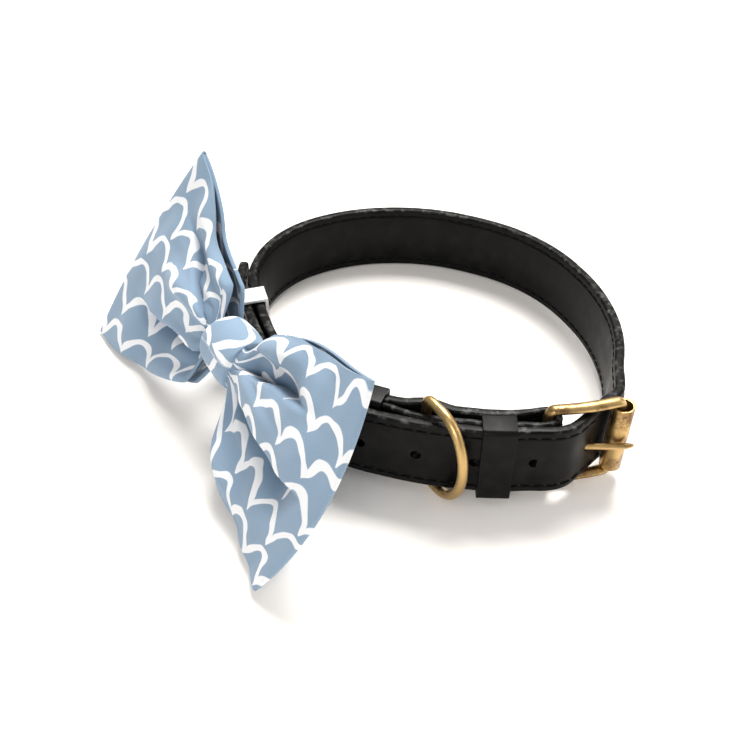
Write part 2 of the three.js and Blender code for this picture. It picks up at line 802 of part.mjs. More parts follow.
// Middle of the fabric: turn goes round the loop of cloth, across from its lower to its upper edge.
function bowPoint(turn, across) {
  const wing = Math.cos(turn) < 0 ? wings.left : wings.right;
  const front = Math.sin(turn) >= 0;
  const along = Math.abs(Math.cos(turn));
  const roundness = Math.sqrt(Math.max(1 - along ** outer_fold_power, 0));
  const half = wing.height / 2;
  const edge = across >= 0 ? 'top' : 'bottom';
  const spread = Math.abs(readTable(wing.rows, 'along', edge, along)) * half;
  const pinch = 1 - THREE.MathUtils.smoothstep(along, pinch_until, pinch_end);
  const bulge = Math.sin(Math.PI * Math.min(along, 1) ** bulge_power);
  const tip = wing.reach - (wing.slant + wing.bulge * across) * across * along;
  const folds = gathersAt(wing, along, across);
  const fullness = THREE.MathUtils.lerp(1, bow_edge_puff, across * across);
  const shares = front ? front_puff : back_puff;
  const reach = front ? bow_puff_front : -bow_puff_back;
  const puff = reach * fullness * (shares.all + shares.bulge * bulge + shares.gathers * folds);
  const pinched = (front ? 1 : -1) * (bow_pinch_depth / 2 - bow_wall / 2)
    * Math.sqrt(Math.max(1 - (pinch_flatness * across) ** 2, 0));
  return new THREE.Vector3(
    wing.side * along * tip,
    across * THREE.MathUtils.lerp(spread, bow_pinch_height / 2, pinch)
      + wing.rise * THREE.MathUtils.smoothstep(along, rise_from, 1),
    bow_sweep * along * along + roundness * THREE.MathUtils.lerp(puff, pinched, pinch),
  );
}

// Angles round the loop of cloth, closer together at the knot and at the outer folds.
function bowTurns() {
  const outward_run = wing_steps.slice(0, -1).map((along) => Math.acos(along));
  const inward_run = wing_steps.slice(1).reverse().map((along) => Math.acos(along));
  return [
    ...inward_run,
    ...outward_run.map((turn) => Math.PI - turn),
    ...inward_run.map((turn) => Math.PI + turn),
    ...outward_run.map((turn) => 2 * Math.PI - turn),
  ];
}

function makeBow() {
  const rows = Array.from({ length: bow_steps_across + 1 }, (_, j) => (
    -1 + (2 * j) / bow_steps_across));
  const small = 0.01;
  const rings = bowTurns().map((turn) => {
    const outer = [];
    const inner = [];
    for (const across of rows) {
      const inside = Math.min(Math.max(across, -1 + small), 1 - small);
      const round = bowPoint(turn + small, inside).sub(bowPoint(turn - small, inside));
      const up = bowPoint(turn, inside + small).sub(bowPoint(turn, inside - small));
      const normal = up.cross(round).normalize();
      const point = bowPoint(turn, across);
      outer.push(point.clone().addScaledVector(normal, bow_wall / 2));
      inner.unshift(point.clone().addScaledVector(normal, -bow_wall / 2));
    }
    return [...outer, ...inner];
  });
  return skin(rings, true).applyMatrix4(bow_frame);
}

// Knot: a band of cloth round the gathered middle, crowned across its width
function makeKnot() {
  const rings = Array.from({ length: knot_steps }, (_, k) => {
    const angle = (2 * Math.PI * k) / knot_steps;
    const width = knot_width * (1 - knot_narrowing * Math.sin(angle) ** 2);
    return knot_rows.map(({ across, crown, inside }) => {
      const grow = knot_crown * (crown - 1) - (inside ? knot_wall - gap : 0);
      return new THREE.Vector3(
        across * width,
        (knot_height / 2 + grow) * Math.sin(angle),
        (knot_depth / 2 + grow) * Math.cos(angle),
      );
    });
  });
  return skin(rings, true).applyMatrix4(bow_frame);
}

// Elastic loop: round the main layer and the tail, then out to a seam on the back of the bow
function makeElastic(at) {
  const place = spot(at);
  const tail_out = readTable(tail_rows, 'at', 'out', at);
  const bulge = bulgeOf(elastic_width, at);
  const low = liftAt(place.point) - band_slack - gap - elastic_wall / 2;
  const high = low + strap_width + 2 * (band_slack + gap) + elastic_wall;
  const near = -strap_wall / 2 - gap - bulge - elastic_wall / 2;
  const far = tail_out + strap_wall / 2 + gap + bulge + elastic_wall / 2;
  const seam = seamOnBow(place, far);
  const line = [
    [near, low], [near, high], [far, high], [seam.far, seam.height], [far, low],
  ].map(([x, y]) => new THREE.Vector2(x, y));
  const prism = (distance) => toSolid(new THREE.ExtrudeGeometry(
    new THREE.Shape(offsetLine(line, distance)), { depth: elastic_width, bevelEnabled: false }));
  const band = toGeometry(prism(elastic_wall / 2).subtract(prism(-elastic_wall / 2)));
  const turned = new THREE.Matrix4().makeBasis(
    new THREE.Vector3(place.normal.x, place.normal.y, 0),
    new THREE.Vector3(0, 0, 1),
    new THREE.Vector3(place.normal.y, -place.normal.x, 0),
  );
  band.translate(0, 0, -elastic_width / 2).applyMatrix4(turned);
  return band.translate(place.point.x, place.point.y, 0);
}

// Closed line of points moved outwards by a distance, with square corners.
function offsetLine(line, distance) {
  const turning = THREE.ShapeUtils.isClockWise(line) ? -1 : 1;
  return line.map((point, i) => {
    const before = point.clone().sub(line[(i + line.length - 1) % line.length]).normalize();
    const after = line[(i + 1) % line.length].clone().sub(point).normalize();
    const first = new THREE.Vector2(before.y, -before.x).multiplyScalar(turning);
    const second = new THREE.Vector2(after.y, -after.x).multiplyScalar(turning);
    const middle = first.clone().add(second).normalize();
    return point.clone().addScaledVector(middle, distance / Math.max(middle.dot(first), 0.35));
  });
}

// Where the loop's plane meets the back of the bow, at the seam's height.
function seamOnBow(place, start) {
  const height = knot_centre_height - 7;
  const to_bow = bow_frame.clone().invert();
  let far = start;
  let clear = true;
  while (clear && far < start + loop_radius) {
    far += 0.1;
    const point = place.point.clone().addScaledVector(place.normal, far + elastic_wall / 2 + gap);
    const local = new THREE.Vector3(point.x, point.y, height).applyMatrix4(to_bow);
    const along = Math.min(Math.abs(local.x) / left_reach, 1);
    const back = bowPoint(-Math.acos(Math.sign(local.x) * along), 0).z - bow_wall / 2;
    clear = local.z + elastic_width / 4 < back;
  }
  return { far, height };
}

// Assembly

const collar = new THREE.Group();
const pieces = [
  ['strap', makeStrap(), materials.leather],
  ['keeper_front', makeKeeperFront(), materials.leather],
  ['keeper_rear', makeKeeperRear(), materials.leather],
  ['buckle_frame', makeFrame(), materials.brass],
  ['roller', makeRoller(), materials.brass],
  ['prong', makeProng(), materials.brass],
  ['d_ring', makeRing(), materials.brass],
  ['bow_body', makeBow(), materials.cotton],
  ['bow_knot', makeKnot(), materials.cotton],
  ['elastic_left', makeElastic(elastic_left_deg), materials.elastic],
  ['elastic_right', makeElastic(elastic_right_deg), materials.elastic],
];
for (const [name, geometry, material] of pieces) {
  const mesh = new THREE.Mesh(geometry, material.clone());
  mesh.name = name;
  collar.add(mesh);
}

const box = new THREE.Box3().setFromObject(collar);
const middle = box.getCenter(new THREE.Vector3());
collar.position.set(-middle.x, -middle.y, -box.min.z);

export default collar;
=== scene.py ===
"""Pet collar in stitched black leather with a printed cotton bow tie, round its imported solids.

Sizes are in millimetres and are turned into metres where a mesh is made. The bow faces -Y and the
buckle lies on the +X side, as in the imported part.
"""

import logging
import math
from dataclasses import dataclass
from enum import Enum
from typing import Sequence

import bmesh
import bpy
import numpy as np
from bpy.types import Material, Node, NodeSocket, NodeTree, Object
from mathutils import Matrix, Vector


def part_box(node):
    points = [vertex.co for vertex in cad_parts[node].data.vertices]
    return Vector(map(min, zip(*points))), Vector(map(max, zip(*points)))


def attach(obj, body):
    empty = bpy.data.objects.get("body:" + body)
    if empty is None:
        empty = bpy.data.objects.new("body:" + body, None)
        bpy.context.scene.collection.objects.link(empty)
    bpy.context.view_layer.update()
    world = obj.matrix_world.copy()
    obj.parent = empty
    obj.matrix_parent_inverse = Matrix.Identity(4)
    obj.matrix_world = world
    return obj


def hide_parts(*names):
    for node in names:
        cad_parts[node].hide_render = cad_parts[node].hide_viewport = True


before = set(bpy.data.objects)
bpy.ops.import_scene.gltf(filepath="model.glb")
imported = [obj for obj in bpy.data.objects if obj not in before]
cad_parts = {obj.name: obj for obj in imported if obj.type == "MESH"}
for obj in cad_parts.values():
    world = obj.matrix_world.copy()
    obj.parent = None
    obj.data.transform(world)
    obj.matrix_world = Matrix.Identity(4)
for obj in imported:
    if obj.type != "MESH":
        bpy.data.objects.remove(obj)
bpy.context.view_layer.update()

MM = 0.001
LOG = logging.getLogger("collar")
Table = Sequence[tuple[float, float]]
Colour = tuple[float, float, float]
Wave = tuple[float, float, float, float]
Range = tuple[float, float]
PIECE_ANGLE = math.radians(50)
HARD_ANGLE = math.radians(40)
QUAD_ANGLES = math.radians(30), math.radians(60)
MERGE = 0.001 * MM


class Slot(Enum):
    """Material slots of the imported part."""

    LEATHER = "leather"
    BRASS = "brass"
    COTTON = "cotton"
    ELASTIC = "elastic"


class Body(Enum):
    """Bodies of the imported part."""

    COLLAR = "collar"
    RING = "ring"


# Plain helpers


def read_table(rows: Table, x: float) -> float:
    """Smooth value of a table at a place, flat past its ends.

    Args:
        rows: Pairs of place and value, in rising order of place.
        x: The place to read.

    Returns:
        The value there.
    """
    last = len(rows) - 1
    if x <= rows[0][0]:
        return rows[0][1]
    if x >= rows[last][0]:
        return rows[last][1]
    i = max(k for k in range(last) if rows[k][0] <= x)

    def slope(k: int) -> float:
        """Slope of the table at a row."""
        low, high = max(k - 1, 0), min(k + 1, last)
        return (rows[high][1] - rows[low][1]) / (rows[high][0] - rows[low][0])

    span = rows[i + 1][0] - rows[i][0]
    rise = rows[i + 1][1] - rows[i][1]
    t = (x - rows[i][0]) / span
    a = slope(i) * span - rise
    b = rise - slope(i + 1) * span
    return rows[i][1] + rise * t + t * (1 - t) * (a * (1 - t) + b * t)


def smoothstep(x: float, low: float, high: float) -> float:
    """Smooth rise from 0 at low to 1 at high."""
    t = min(max((x - low) / (high - low), 0.0), 1.0)
    return t * t * (3 - 2 * t)


def hump(distance: float, half: float) -> float:
    """Soft hump, 1 at its middle and 0 beyond its half width."""
    return 0.5 + 0.5 * math.cos(math.pi * distance / half) if abs(distance) < half else 0.0


def mix(a: float, b: float, share: float) -> float:
    """Value between two others."""
    return a + (b - a) * share


def activate(piece: Object) -> None:
    """Selects one piece and nothing else."""
    bpy.ops.object.select_all(action="DESELECT")
    piece.select_set(True)
    bpy.context.view_layer.objects.active = piece


def grid_faces(rings: int, around: int, closed: bool) -> list[tuple[int, ...]]:
    """Faces of a tube of rings, with its ends closed unless it comes round again.

    Args:
        rings: Number of rings.
        around: Points in each ring.
        closed: True where the last ring joins the first.

    Returns:
        Corner numbers of each face.
    """
    faces: list[tuple[int, ...]] = []
    for i in range(rings if closed else rings - 1):
        here, there = i * around, (i + 1) % rings * around
        for j in range(around):
            k = (j + 1) % around
            faces.append((here + j, there + j, there + k, here + k))
    if not closed:
        faces.append(tuple(reversed(range(around))))
        faces.append(tuple(range((rings - 1) * around, rings * around)))
    return faces


def make_piece(name: str, points: np.ndarray, faces: Sequence[tuple[int, ...]],
               flat: np.ndarray | None = None,
               deep: np.ndarray | None = None) -> Object:
    """Smooth mesh piece from points in millimetres.

    Args:
        name: Name of the piece.
        points: One row for each corner.
        faces: Corner numbers of each face.
        flat: Place of each corner on the flat material, in millimetres, or None.
        deep: Share of painted shade at each corner, from 0 to 1, kept in the attribute fold, or
            None.

    Returns:
        The new piece, its faces pointing outwards.
    """
    mesh = bpy.data.meshes.new(name)
    mesh.from_pydata((points * MM).tolist(), [], [list(f) for f in faces])
    if flat is not None:
        layer = mesh.uv_layers.new(name="flat")
        corners = np.empty(len(mesh.loops), dtype=np.int32)
        mesh.loops.foreach_get("vertex_index", corners)
        layer.data.foreach_set("uv", (flat[corners] * MM).astype(np.float32).ravel())
    # the fold attribute carries painted shade, not a shape
    if deep is not None:
        folds = mesh.attributes.new("fold", "FLOAT", "POINT")
        folds.data.foreach_set("value", deep.astype(np.float32))
    piece = bpy.data.objects.new(name, mesh)
    bpy.context.scene.collection.objects.link(piece)
    turned = bmesh.new()
    turned.from_mesh(mesh)
    bmesh.ops.recalc_face_normals(turned, faces=turned.faces)
    turned.to_mesh(mesh)
    turned.free()
    activate(piece)
    bpy.ops.object.shade_smooth_by_angle(angle=PIECE_ANGLE)
    return piece


def copy_of_node(node: str, name: str) -> Object:
    """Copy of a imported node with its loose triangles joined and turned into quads.

    Args:
        node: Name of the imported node.
        name: Name of the copy.

    Returns:
        The copy, without a material.
    """
    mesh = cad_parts[node].data.copy()
    mesh.materials.clear()
    piece = bpy.data.objects.new(name, mesh)
    bpy.context.scene.collection.objects.link(piece)
    activate(piece)
    bpy.ops.mesh.customdata_custom_splitnormals_clear()
    bpy.ops.object.mode_set(mode="EDIT")
    bpy.ops.mesh.select_all(action="SELECT")
    bpy.ops.mesh.remove_doubles(threshold=MERGE)
    bpy.ops.mesh.tris_convert_to_quads(
        face_threshold=QUAD_ANGLES[0], shape_threshold=QUAD_ANGLES[1])
    bpy.ops.object.mode_set(mode="OBJECT")
    return piece


def apply_modifier(piece: Object, kind: str, **settings: object) -> None:
    """Adds a modifier with the given settings and applies it.

    Args:
        piece: The piece to change.
        kind: Blender's name of the modifier's type.
        settings: Values of the modifier.
    """
    activate(piece)
    modifier = piece.modifiers.new(kind.lower(), kind)
    for key, value in settings.items():
        setattr(modifier, key, value)
    bpy.ops.object.modifier_apply(modifier=modifier.name)


def settle(piece: Object, finish: Material, slot: Slot, body: Body,
           *nodes: str) -> Object:
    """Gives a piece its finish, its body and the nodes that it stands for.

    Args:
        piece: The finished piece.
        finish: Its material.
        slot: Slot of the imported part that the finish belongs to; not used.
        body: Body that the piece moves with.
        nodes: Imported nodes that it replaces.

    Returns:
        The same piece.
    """
    piece.data.materials.clear()
    piece.data.materials.append(finish)
    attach(piece, body.value)
    if nodes:
        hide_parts(*nodes)
    LOG.info("%s: %d faces", piece.name, len(piece.data.polygons))
    return piece


# Finishes


class Graph:
    """Short way to write shader nodes."""

    def __init__(self, tree: NodeTree) -> None:
        """Keeps the tree that the nodes go into."""
        self.tree = tree

    def feed(self, node: Node, inputs: dict) -> Node:
        """Links sockets to a node's inputs, or sets their values.

        Args:
            node: The node that takes them.
            inputs: Value or socket for each input, by its name or number.

        Returns:
            The same node.
        """
        for key, value in inputs.items():
            if isinstance(value, NodeSocket):
                self.tree.links.new(value, node.inputs[key])
            else:
                node.inputs[key].default_value = value
        return node

    def node(self, kind: str, inputs: dict | None = None, **settings: object) -> Node:
        """New node with its settings, and its inputs as feed takes them."""
        made = self.tree.nodes.new(kind)
        for key, value in settings.items():
            setattr(made, key, value)
        return self.feed(made, inputs or {})

    def group(self, tree: NodeTree, inputs: dict) -> bpy.types.bpy_prop_collection:
        """Outputs of a shared group."""
        return self.node("ShaderNodeGroup", inputs, node_tree=tree).outputs

    def math(self, operation: str, *values: object) -> NodeSocket:
        """Result of one arithmetic step."""
        return self.node("ShaderNodeMath", dict(enumerate(values)), operation=operation).outputs[0]

    def split(self, vector: NodeSocket) -> bpy.types.bpy_prop_collection:
        """Parts of a vector."""
        return self.node("ShaderNodeSeparateXYZ", {0: vector}).outputs

    def ramp(self, value: NodeSocket, low: object, high: object,
             out_low: float = 0.0, out_high: float = 1.0) -> NodeSocket:
        """Smooth step of a value from low to high, given out between two levels."""
        made = self.node("ShaderNodeMapRange", {
            "Value": value, "From Min": low, "From Max": high,
            "To Min": out_low, "To Max": out_high}, interpolation_type="SMOOTHSTEP")
        return made.outputs["Result"]

    def colour(self, share: object, first: object, second: object) -> NodeSocket:
        """Colour between two others."""
        ends = {6: first, 7: second}
        made = self.node("ShaderNodeMix", {"Factor": share}, data_type="RGBA")
        return self.feed(made, {
            key: value if isinstance(value, NodeSocket) else (*value, 1.0)
            for key, value in ends.items()}).outputs[2]

    def noise(self, vector: object, scale: object, detail: float = 2.0,
              output: str = "Fac") -> NodeSocket:
        """Soft noise at a scale per metre."""
        return self.node("ShaderNodeTexNoise", {
            "Vector": vector, "Scale": scale, "Detail": detail}).outputs[output]

    def bump(self, height: NodeSocket, strength: float,
             relief: float) -> NodeSocket:
        """Normal of a surface with a relief of so many millimetres."""
        return self.node("ShaderNodeBump", {
            "Height": height, "Strength": strength, "Distance": relief * MM}).outputs[0]

    def place(self) -> NodeSocket:
        """Place in the piece's own frame."""
        return self.node("ShaderNodeTexCoord").outputs["Object"]

    def flat(self) -> NodeSocket:
        """Place on the flat material."""
        return self.node("ShaderNodeUVMap", uv_map="flat").outputs[0]


def new_group(name: str, inputs: dict[str, float],
              outputs: Sequence[str]) -> tuple[Graph, dict, Node]:
    """Empty shader group that takes a vector and some numbers.

    Args:
        name: Name of the group.
        inputs: First value of each number that it takes, by its name.
        outputs: Names of the numbers that it gives.

    Returns:
        The graph, its inputs by name and its output node.
    """
    tree = bpy.data.node_groups.new(name, "ShaderNodeTree")
    tree.interface.new_socket("Vector", in_out="INPUT", socket_type="NodeSocketVector")
    for label, value in inputs.items():
        socket = tree.interface.new_socket(label, in_out="INPUT", socket_type="NodeSocketFloat")
        socket.default_value = value
    for label in outputs:
        tree.interface.new_socket(label, in_out="OUTPUT", socket_type="NodeSocketFloat")
    graph = Graph(tree)
    given = graph.node("NodeGroupInput").outputs
    return graph, {label: given[label] for label in ("Vector", *inputs)}, graph.node(
        "NodeGroupOutput")


def weave_group() -> NodeTree:
    """Plain weave: crossing threads of a given pitch, with uneven slubs; its Shade is painted shade
    where the threads lie low, with the random slub tone in it.

    Returns:
        Group with the outputs Height and Shade.
    """
    graph, given, outer = new_group("weave", {
        "Pitch": 0.0005, "Unevenness": 0.4, "Slub Scale": 900.0}, ("Height", "Shade"))
    place = graph.split(given["Vector"])
    turn = graph.math("DIVIDE", math.pi, given["Pitch"])
    across, along = (graph.math("SINE", graph.math("MULTIPLY", place[k], turn)) for k in (0, 1))
    threads = graph.math("MULTIPLY", across, along)
    slub = graph.math("SUBTRACT", graph.noise(given["Vector"], given["Slub Scale"], 3.0), 0.5)
    height = graph.math("ADD", graph.math("MULTIPLY", threads, 0.5), graph.math(
        "MULTIPLY", slub, given["Unevenness"]))
    graph.feed(outer, {"Height": height, "Shade": graph.math("MULTIPLY_ADD", height, 0.5, 0.5)})
    return graph.tree


def grain_group() -> NodeTree:
    """Fine leather grain: small pebbles with soft creases between them.

    Returns:
        Group with the outputs Height and Wear.
    """
    graph, given, outer = new_group("grain", {
        "Scale": 1400.0, "Crease Width": 0.25, "Crease Share": 0.35, "Broad Scale": 160.0},
        ("Height", "Wear"))
    cells = graph.node("ShaderNodeTexVoronoi", {
        "Vector": given["Vector"], "Scale": given["Scale"]}, feature="DISTANCE_TO_EDGE")
    creases = graph.ramp(cells.outputs["Distance"], 0.0, given["Crease Width"])
    broad = graph.noise(given["Vector"], given["Broad Scale"], 4.0)
    graph.feed(outer, {"Wear": broad, "Height": graph.math(
        "MULTIPLY_ADD", creases, given["Crease Share"], broad)})
    return graph.tree


def edge_wear_and_highlight_group() -> NodeTree:
    """Rubbed edges of a strap, partly real wear and partly a painted highlight: flecks that begin a
    little way in from each edge.

    Returns:
        Group with the outputs Wear and Height.
    """
    graph, given, outer = new_group("edge_wear_and_highlight", {
        "From Middle": 0.0, "Half Width": 0.0125, "Reach": 0.0008, "Full": 0.0001,
        "Fleck Scale": 420.0, "Fleck Low": 0.48, "Fleck High": 0.72}, ("Wear", "Height"))
    edge = graph.ramp(given["From Middle"], *(
        graph.math("SUBTRACT", given["Half Width"], given[label]) for label in ("Reach", "Full")))
    flecks = graph.noise(given["Vector"], given["Fleck Scale"], 4.0)
    graph.feed(outer, {
        "Wear": graph.math("MULTIPLY", edge, graph.ramp(
            flecks, given["Fleck Low"], given["Fleck High"])),
        "Height": graph.math("MULTIPLY", edge, flecks)})
    return graph.tree


def print_group() -> NodeTree:
    """Rows of hand-drawn scallops on flat cloth, each row half a hump along from the last.

    Returns:
        Group with the output Mask, 1 on the drawn lines.
    """
    graph, given, outer = new_group("scallop_print", {
        "Row": 0.0128, "Hump": 0.0145, "Stroke": 0.0022, "Rise": 0.62, "Base": 0.16,
        "Wobble": 0.0062, "Wobble Scale": 75.0, "Stagger": 0.22, "Roundness": 0.8,
        "Steepness": 1.7, "Brush Scale": 140.0, "Thinnest": 0.1, "Thickening": 0.9,
        "Soft Outside": -0.00012, "Soft Inside": 0.00022}, ("Mask",))
    sway = graph.noise(given["Vector"], given["Wobble Scale"], 1.0, "Color")
    centred = graph.node("ShaderNodeVectorMath", {
        0: sway, 1: (0.5, 0.5, 0.5)}, operation="SUBTRACT")
    offset = graph.node("ShaderNodeVectorMath", {
        0: centred.outputs[0], "Scale": given["Wobble"]}, operation="SCALE")
    moved = graph.node("ShaderNodeVectorMath", {
        0: given["Vector"], 1: offset.outputs[0]}, operation="ADD")
    place = graph.split(moved.outputs[0])
    row = graph.math("DIVIDE", place[1], given["Row"])
    number = graph.math("FLOOR", row)
    shift = graph.node("ShaderNodeTexWhiteNoise", {"W": number}, noise_dimensions="1D")
    stagger = graph.math("MULTIPLY_ADD", number, 0.5, graph.math(
        "MULTIPLY", shift.outputs["Value"], given["Stagger"]))
    phase = graph.math("MULTIPLY", graph.math("ADD", graph.math(
        "DIVIDE", place[0], given["Hump"]), stagger), math.pi)
    arch = graph.math("POWER", graph.math("ABSOLUTE", graph.math("SINE", phase)),
                      given["Roundness"])
    line = graph.math("MULTIPLY_ADD", arch, given["Rise"], given["Base"])
    within = graph.math("SUBTRACT", row, number)
    level = graph.math("MULTIPLY", graph.math(
        "ABSOLUTE", graph.math("SUBTRACT", within, line)), given["Row"])
    steep = graph.math("MULTIPLY", graph.math("COSINE", phase), given["Steepness"])
    lean = graph.math("SQRT", graph.math("MULTIPLY_ADD", steep, steep, 1.0))
    brush = graph.noise(given["Vector"], given["Brush Scale"], 1.0)
    width = graph.math("MULTIPLY", given["Stroke"], graph.math(
        "MULTIPLY_ADD", brush, given["Thickening"], given["Thinnest"]))
    edge = graph.math("SUBTRACT", width, graph.math("DIVIDE", level, lean))
    graph.feed(outer, {"Mask": graph.ramp(edge, given["Soft Outside"], given["Soft Inside"])})
    return graph.tree


def new_material(name: str) -> tuple[Material, Graph, Node]:
    """Material with its graph and its main shader."""
    material = bpy.data.materials.new(name)
    material.use_nodes = True
    graph = Graph(material.node_tree)
    return material, graph, material.node_tree.nodes["Principled BSDF"]


@dataclass(frozen=True)
class LeatherFinish:
    """Smooth black leather, with a sunk stitch line near each edge of the strap and lighter flecks
    on its edges that are partly wear and partly a painted highlight.
    """

    name: str = "leather_black"
    colour: Colour = (0.0026, 0.0026, 0.0026)
    rub: Colour = (0.008, 0.0076, 0.0073)
    # colour of the edge flecks: partly rubbed leather, partly a painted highlight
    edge_rub_and_highlight: Colour = (0.075, 0.074, 0.071)
    rough_range: Range = (0.26, 0.44)
    rough_wear: Range = (0.2, 0.8)
    rub_wear: Range = (0.35, 0.8)
    shine: float = 0.08
    bump: float = 0.5
    relief: float = 0.35
    grain_share: float = 0.10
    groove_share: float = 0.9
    edge_share: float = 0.35
    groove_width: float = 0.75
    strap_width: float = 25.0
    stitch_inset: float = 2.6
    stitched: bool = True

    def make(self, grain: NodeTree,
             edge_wear_and_highlight: NodeTree) -> Material:
        """Material of this leather.

        Args:
            grain: The shared leather grain.
            edge_wear_and_highlight: The shared rubbed edges of a strap, partly wear and partly a
                painted highlight.

        Returns:
            The new material.
        """
        material, graph, shader = new_material(self.name)
        place = graph.place()
        pebble = graph.group(grain, {"Vector": place})
        height = graph.math("MULTIPLY", pebble["Height"], self.grain_share)
        shade = graph.ramp(pebble["Wear"], *self.rub_wear)
        if self.stitched:
            middle = self.strap_width / 2 * MM
            off = graph.math("ABSOLUTE", graph.math(
                "SUBTRACT", graph.split(graph.flat())[1], middle))
            away = graph.math("ABSOLUTE", graph.math(
                "SUBTRACT", off, middle - self.stitch_inset * MM))
            groove = graph.ramp(away, 0.0, self.groove_width * MM)
            worn = graph.group(edge_wear_and_highlight, {
                "Vector": place, "From Middle": off, "Half Width": middle})
            height = graph.math("MULTIPLY_ADD", groove, self.groove_share, height)
            height = graph.math("MULTIPLY_ADD", worn["Height"], self.edge_share, height)
            shade = graph.math("MULTIPLY", shade, groove)
        colour = graph.colour(shade, self.colour, self.rub)
        # lighter flecks on the edges: partly rubbed leather, partly a painted highlight
        if self.stitched:
            colour = graph.colour(worn["Wear"], colour, self.edge_rub_and_highlight)
        graph.feed(shader, {
            "Base Color": colour, "Specular IOR Level": self.shine,
            "Roughness": graph.ramp(pebble["Wear"], *self.rough_wear, *self.rough_range),
            "Normal": graph.bump(height, self.bump, self.relief)})
        return material


@dataclass(frozen=True)
class BrassFinish:
    """Antique satin brass, browner in patches."""

    name: str = "brass_antique"
    bright: Colour = (0.49, 0.328, 0.138)
    brown: Colour = (0.15, 0.085, 0.04)
    patch_scale: float = 130.0
    speck_scale: float = 1500.0
    speck_share: float = 0.25
    stain: Range = (0.62, 0.86)
    rough_specks: Range = (0.3, 0.7)
    rough_range: Range = (0.29, 0.46)
    bump: float = 0.12
    relief: float = 0.2

    def make(self) -> Material:
        """Material of this brass."""
        material, graph, shader = new_material(self.name)
        place = graph.place()
        patches = graph.noise(place, self.patch_scale, 3.0)
        specks = graph.noise(place, self.speck_scale)
        stain = graph.ramp(graph.math(
            "MULTIPLY_ADD", specks, self.speck_share, patches), *self.stain)
        graph.feed(shader, {
            "Base Color": graph.colour(stain, self.bright, self.brown), "Metallic": 1.0,
            "Roughness": graph.ramp(specks, *self.rough_specks, *self.rough_range),
            "Normal": graph.bump(specks, self.bump, self.relief)})
        return material


@dataclass(frozen=True)
class CottonFinish:
    """Plain woven cotton, printed with white lines, with painted shade where the fold attribute is
    set.
    """

    name: str = "cotton_blue"
    ground: Colour = (0.250, 0.340, 0.444)
    # darker ground, reached partly by random cloudy tone and partly by painted shade between the
    # threads
    deep: Colour = (0.176, 0.258, 0.354)
    # painted shade: ground and print go towards these colours where the fold attribute is high
    shaded: Colour = (0.065, 0.118, 0.190)
    drawn: Colour = (0.78, 0.785, 0.80)
    drawn_shaded: Colour = (0.45, 0.46, 0.50)
    pitch: float = 0.36
    turn: float = 0.0
    cloud_scale: float = 60.0
    cloud_share: float = 0.5
    thread_share: float = 0.35
    ink_loss: float = 0.12
    roughness: float = 0.85
    sheen: float = 0.15
    shine: float = 0.2
    bump: float = 0.35
    relief: float = 0.12

    def make(self, weave: NodeTree, scallops: NodeTree) -> Material:
        """Material of this cloth.

        Args:
            weave: The shared weave.
            scallops: The shared print.

        Returns:
            The new material.
        """
        material, graph, shader = new_material(self.name)
        flat = graph.flat()
        threads = graph.group(weave, {"Vector": flat, "Pitch": self.pitch * MM})
        turned = graph.node("ShaderNodeMapping", {"Vector": flat, "Rotation": (0, 0, self.turn)})
        mask = graph.group(scallops, {"Vector": turned.outputs[0]})["Mask"]
        # tone: painted shade between the threads plus random cloudy tone
        tone = graph.math("MULTIPLY_ADD", threads["Shade"], self.thread_share, graph.math(
            "MULTIPLY", graph.noise(flat, self.cloud_scale, 3.0), self.cloud_share))
        # fold attribute: painted shade in the hollows, near the knot and on the inner face
        fold = graph.node("ShaderNodeAttribute", attribute_name="fold").outputs["Fac"]
        ground = graph.colour(fold, graph.colour(tone, self.ground, self.deep), self.shaded)
        drawn = graph.colour(fold, self.drawn, self.drawn_shaded)
        faded = graph.math("MULTIPLY", mask, graph.math(
            "MULTIPLY_ADD", threads["Shade"], self.ink_loss, 1 - self.ink_loss))
        graph.feed(shader, {
            "Base Color": graph.colour(faded, ground, drawn), "Roughness": self.roughness,
            "Sheen Weight": self.sheen, "Specular IOR Level": self.shine,
            "Normal": graph.bump(threads["Height"], self.bump, self.relief)})
        return material


@dataclass(frozen=True)
class ElasticFinish:
    """White woven elastic with ribs along it, darker where the weave lies low as painted shade
    between the threads.
    """

    name: str = "elastic_white"
    colour: Colour = (0.80, 0.80, 0.79)
    # worn: share of the colour where the weave lies low, painted shade between the threads with
    # random slub tone
    worn: float = 0.86
    pitch: float = 0.6
    roughness: float = 0.8
    bump: float = 0.5
    relief: float = 0.15

    def make(self, weave: NodeTree) -> Material:
        """Material of this elastic."""
        material, graph, shader = new_material(self.name)
        threads = graph.group(weave, {"Vector": graph.place(), "Pitch": self.pitch * MM})
        worn = tuple(self.worn * c for c in self.colour)
        graph.feed(shader, {
            "Base Color": graph.colour(threads["Shade"], worn, self.colour),
            "Roughness": self.roughness,
            "Normal": graph.bump(threads["Height"], self.bump, self.relief)})
        return material


@dataclass(frozen=True)
class ThreadFinish:
    """Waxed black sewing thread."""

    name: str = "thread_black"
    colour: Colour = (0.0032, 0.003, 0.003)
    lighter: float = 1.6
    fibre_scale: float = 2500.0
    roughness: float = 0.6
    shine: float = 0.05

    def make(self) -> Material:
        """Material of this thread."""
        material, graph, shader = new_material(self.name)
        fibres = graph.noise(graph.place(), self.fibre_scale)
        lighter = tuple(self.lighter * c for c in self.colour)
        graph.feed(shader, {
            "Base Color": graph.colour(fibres, self.colour, lighter),
            "Roughness": self.roughness, "Specular IOR Level": self.shine})
        return material


# Strap


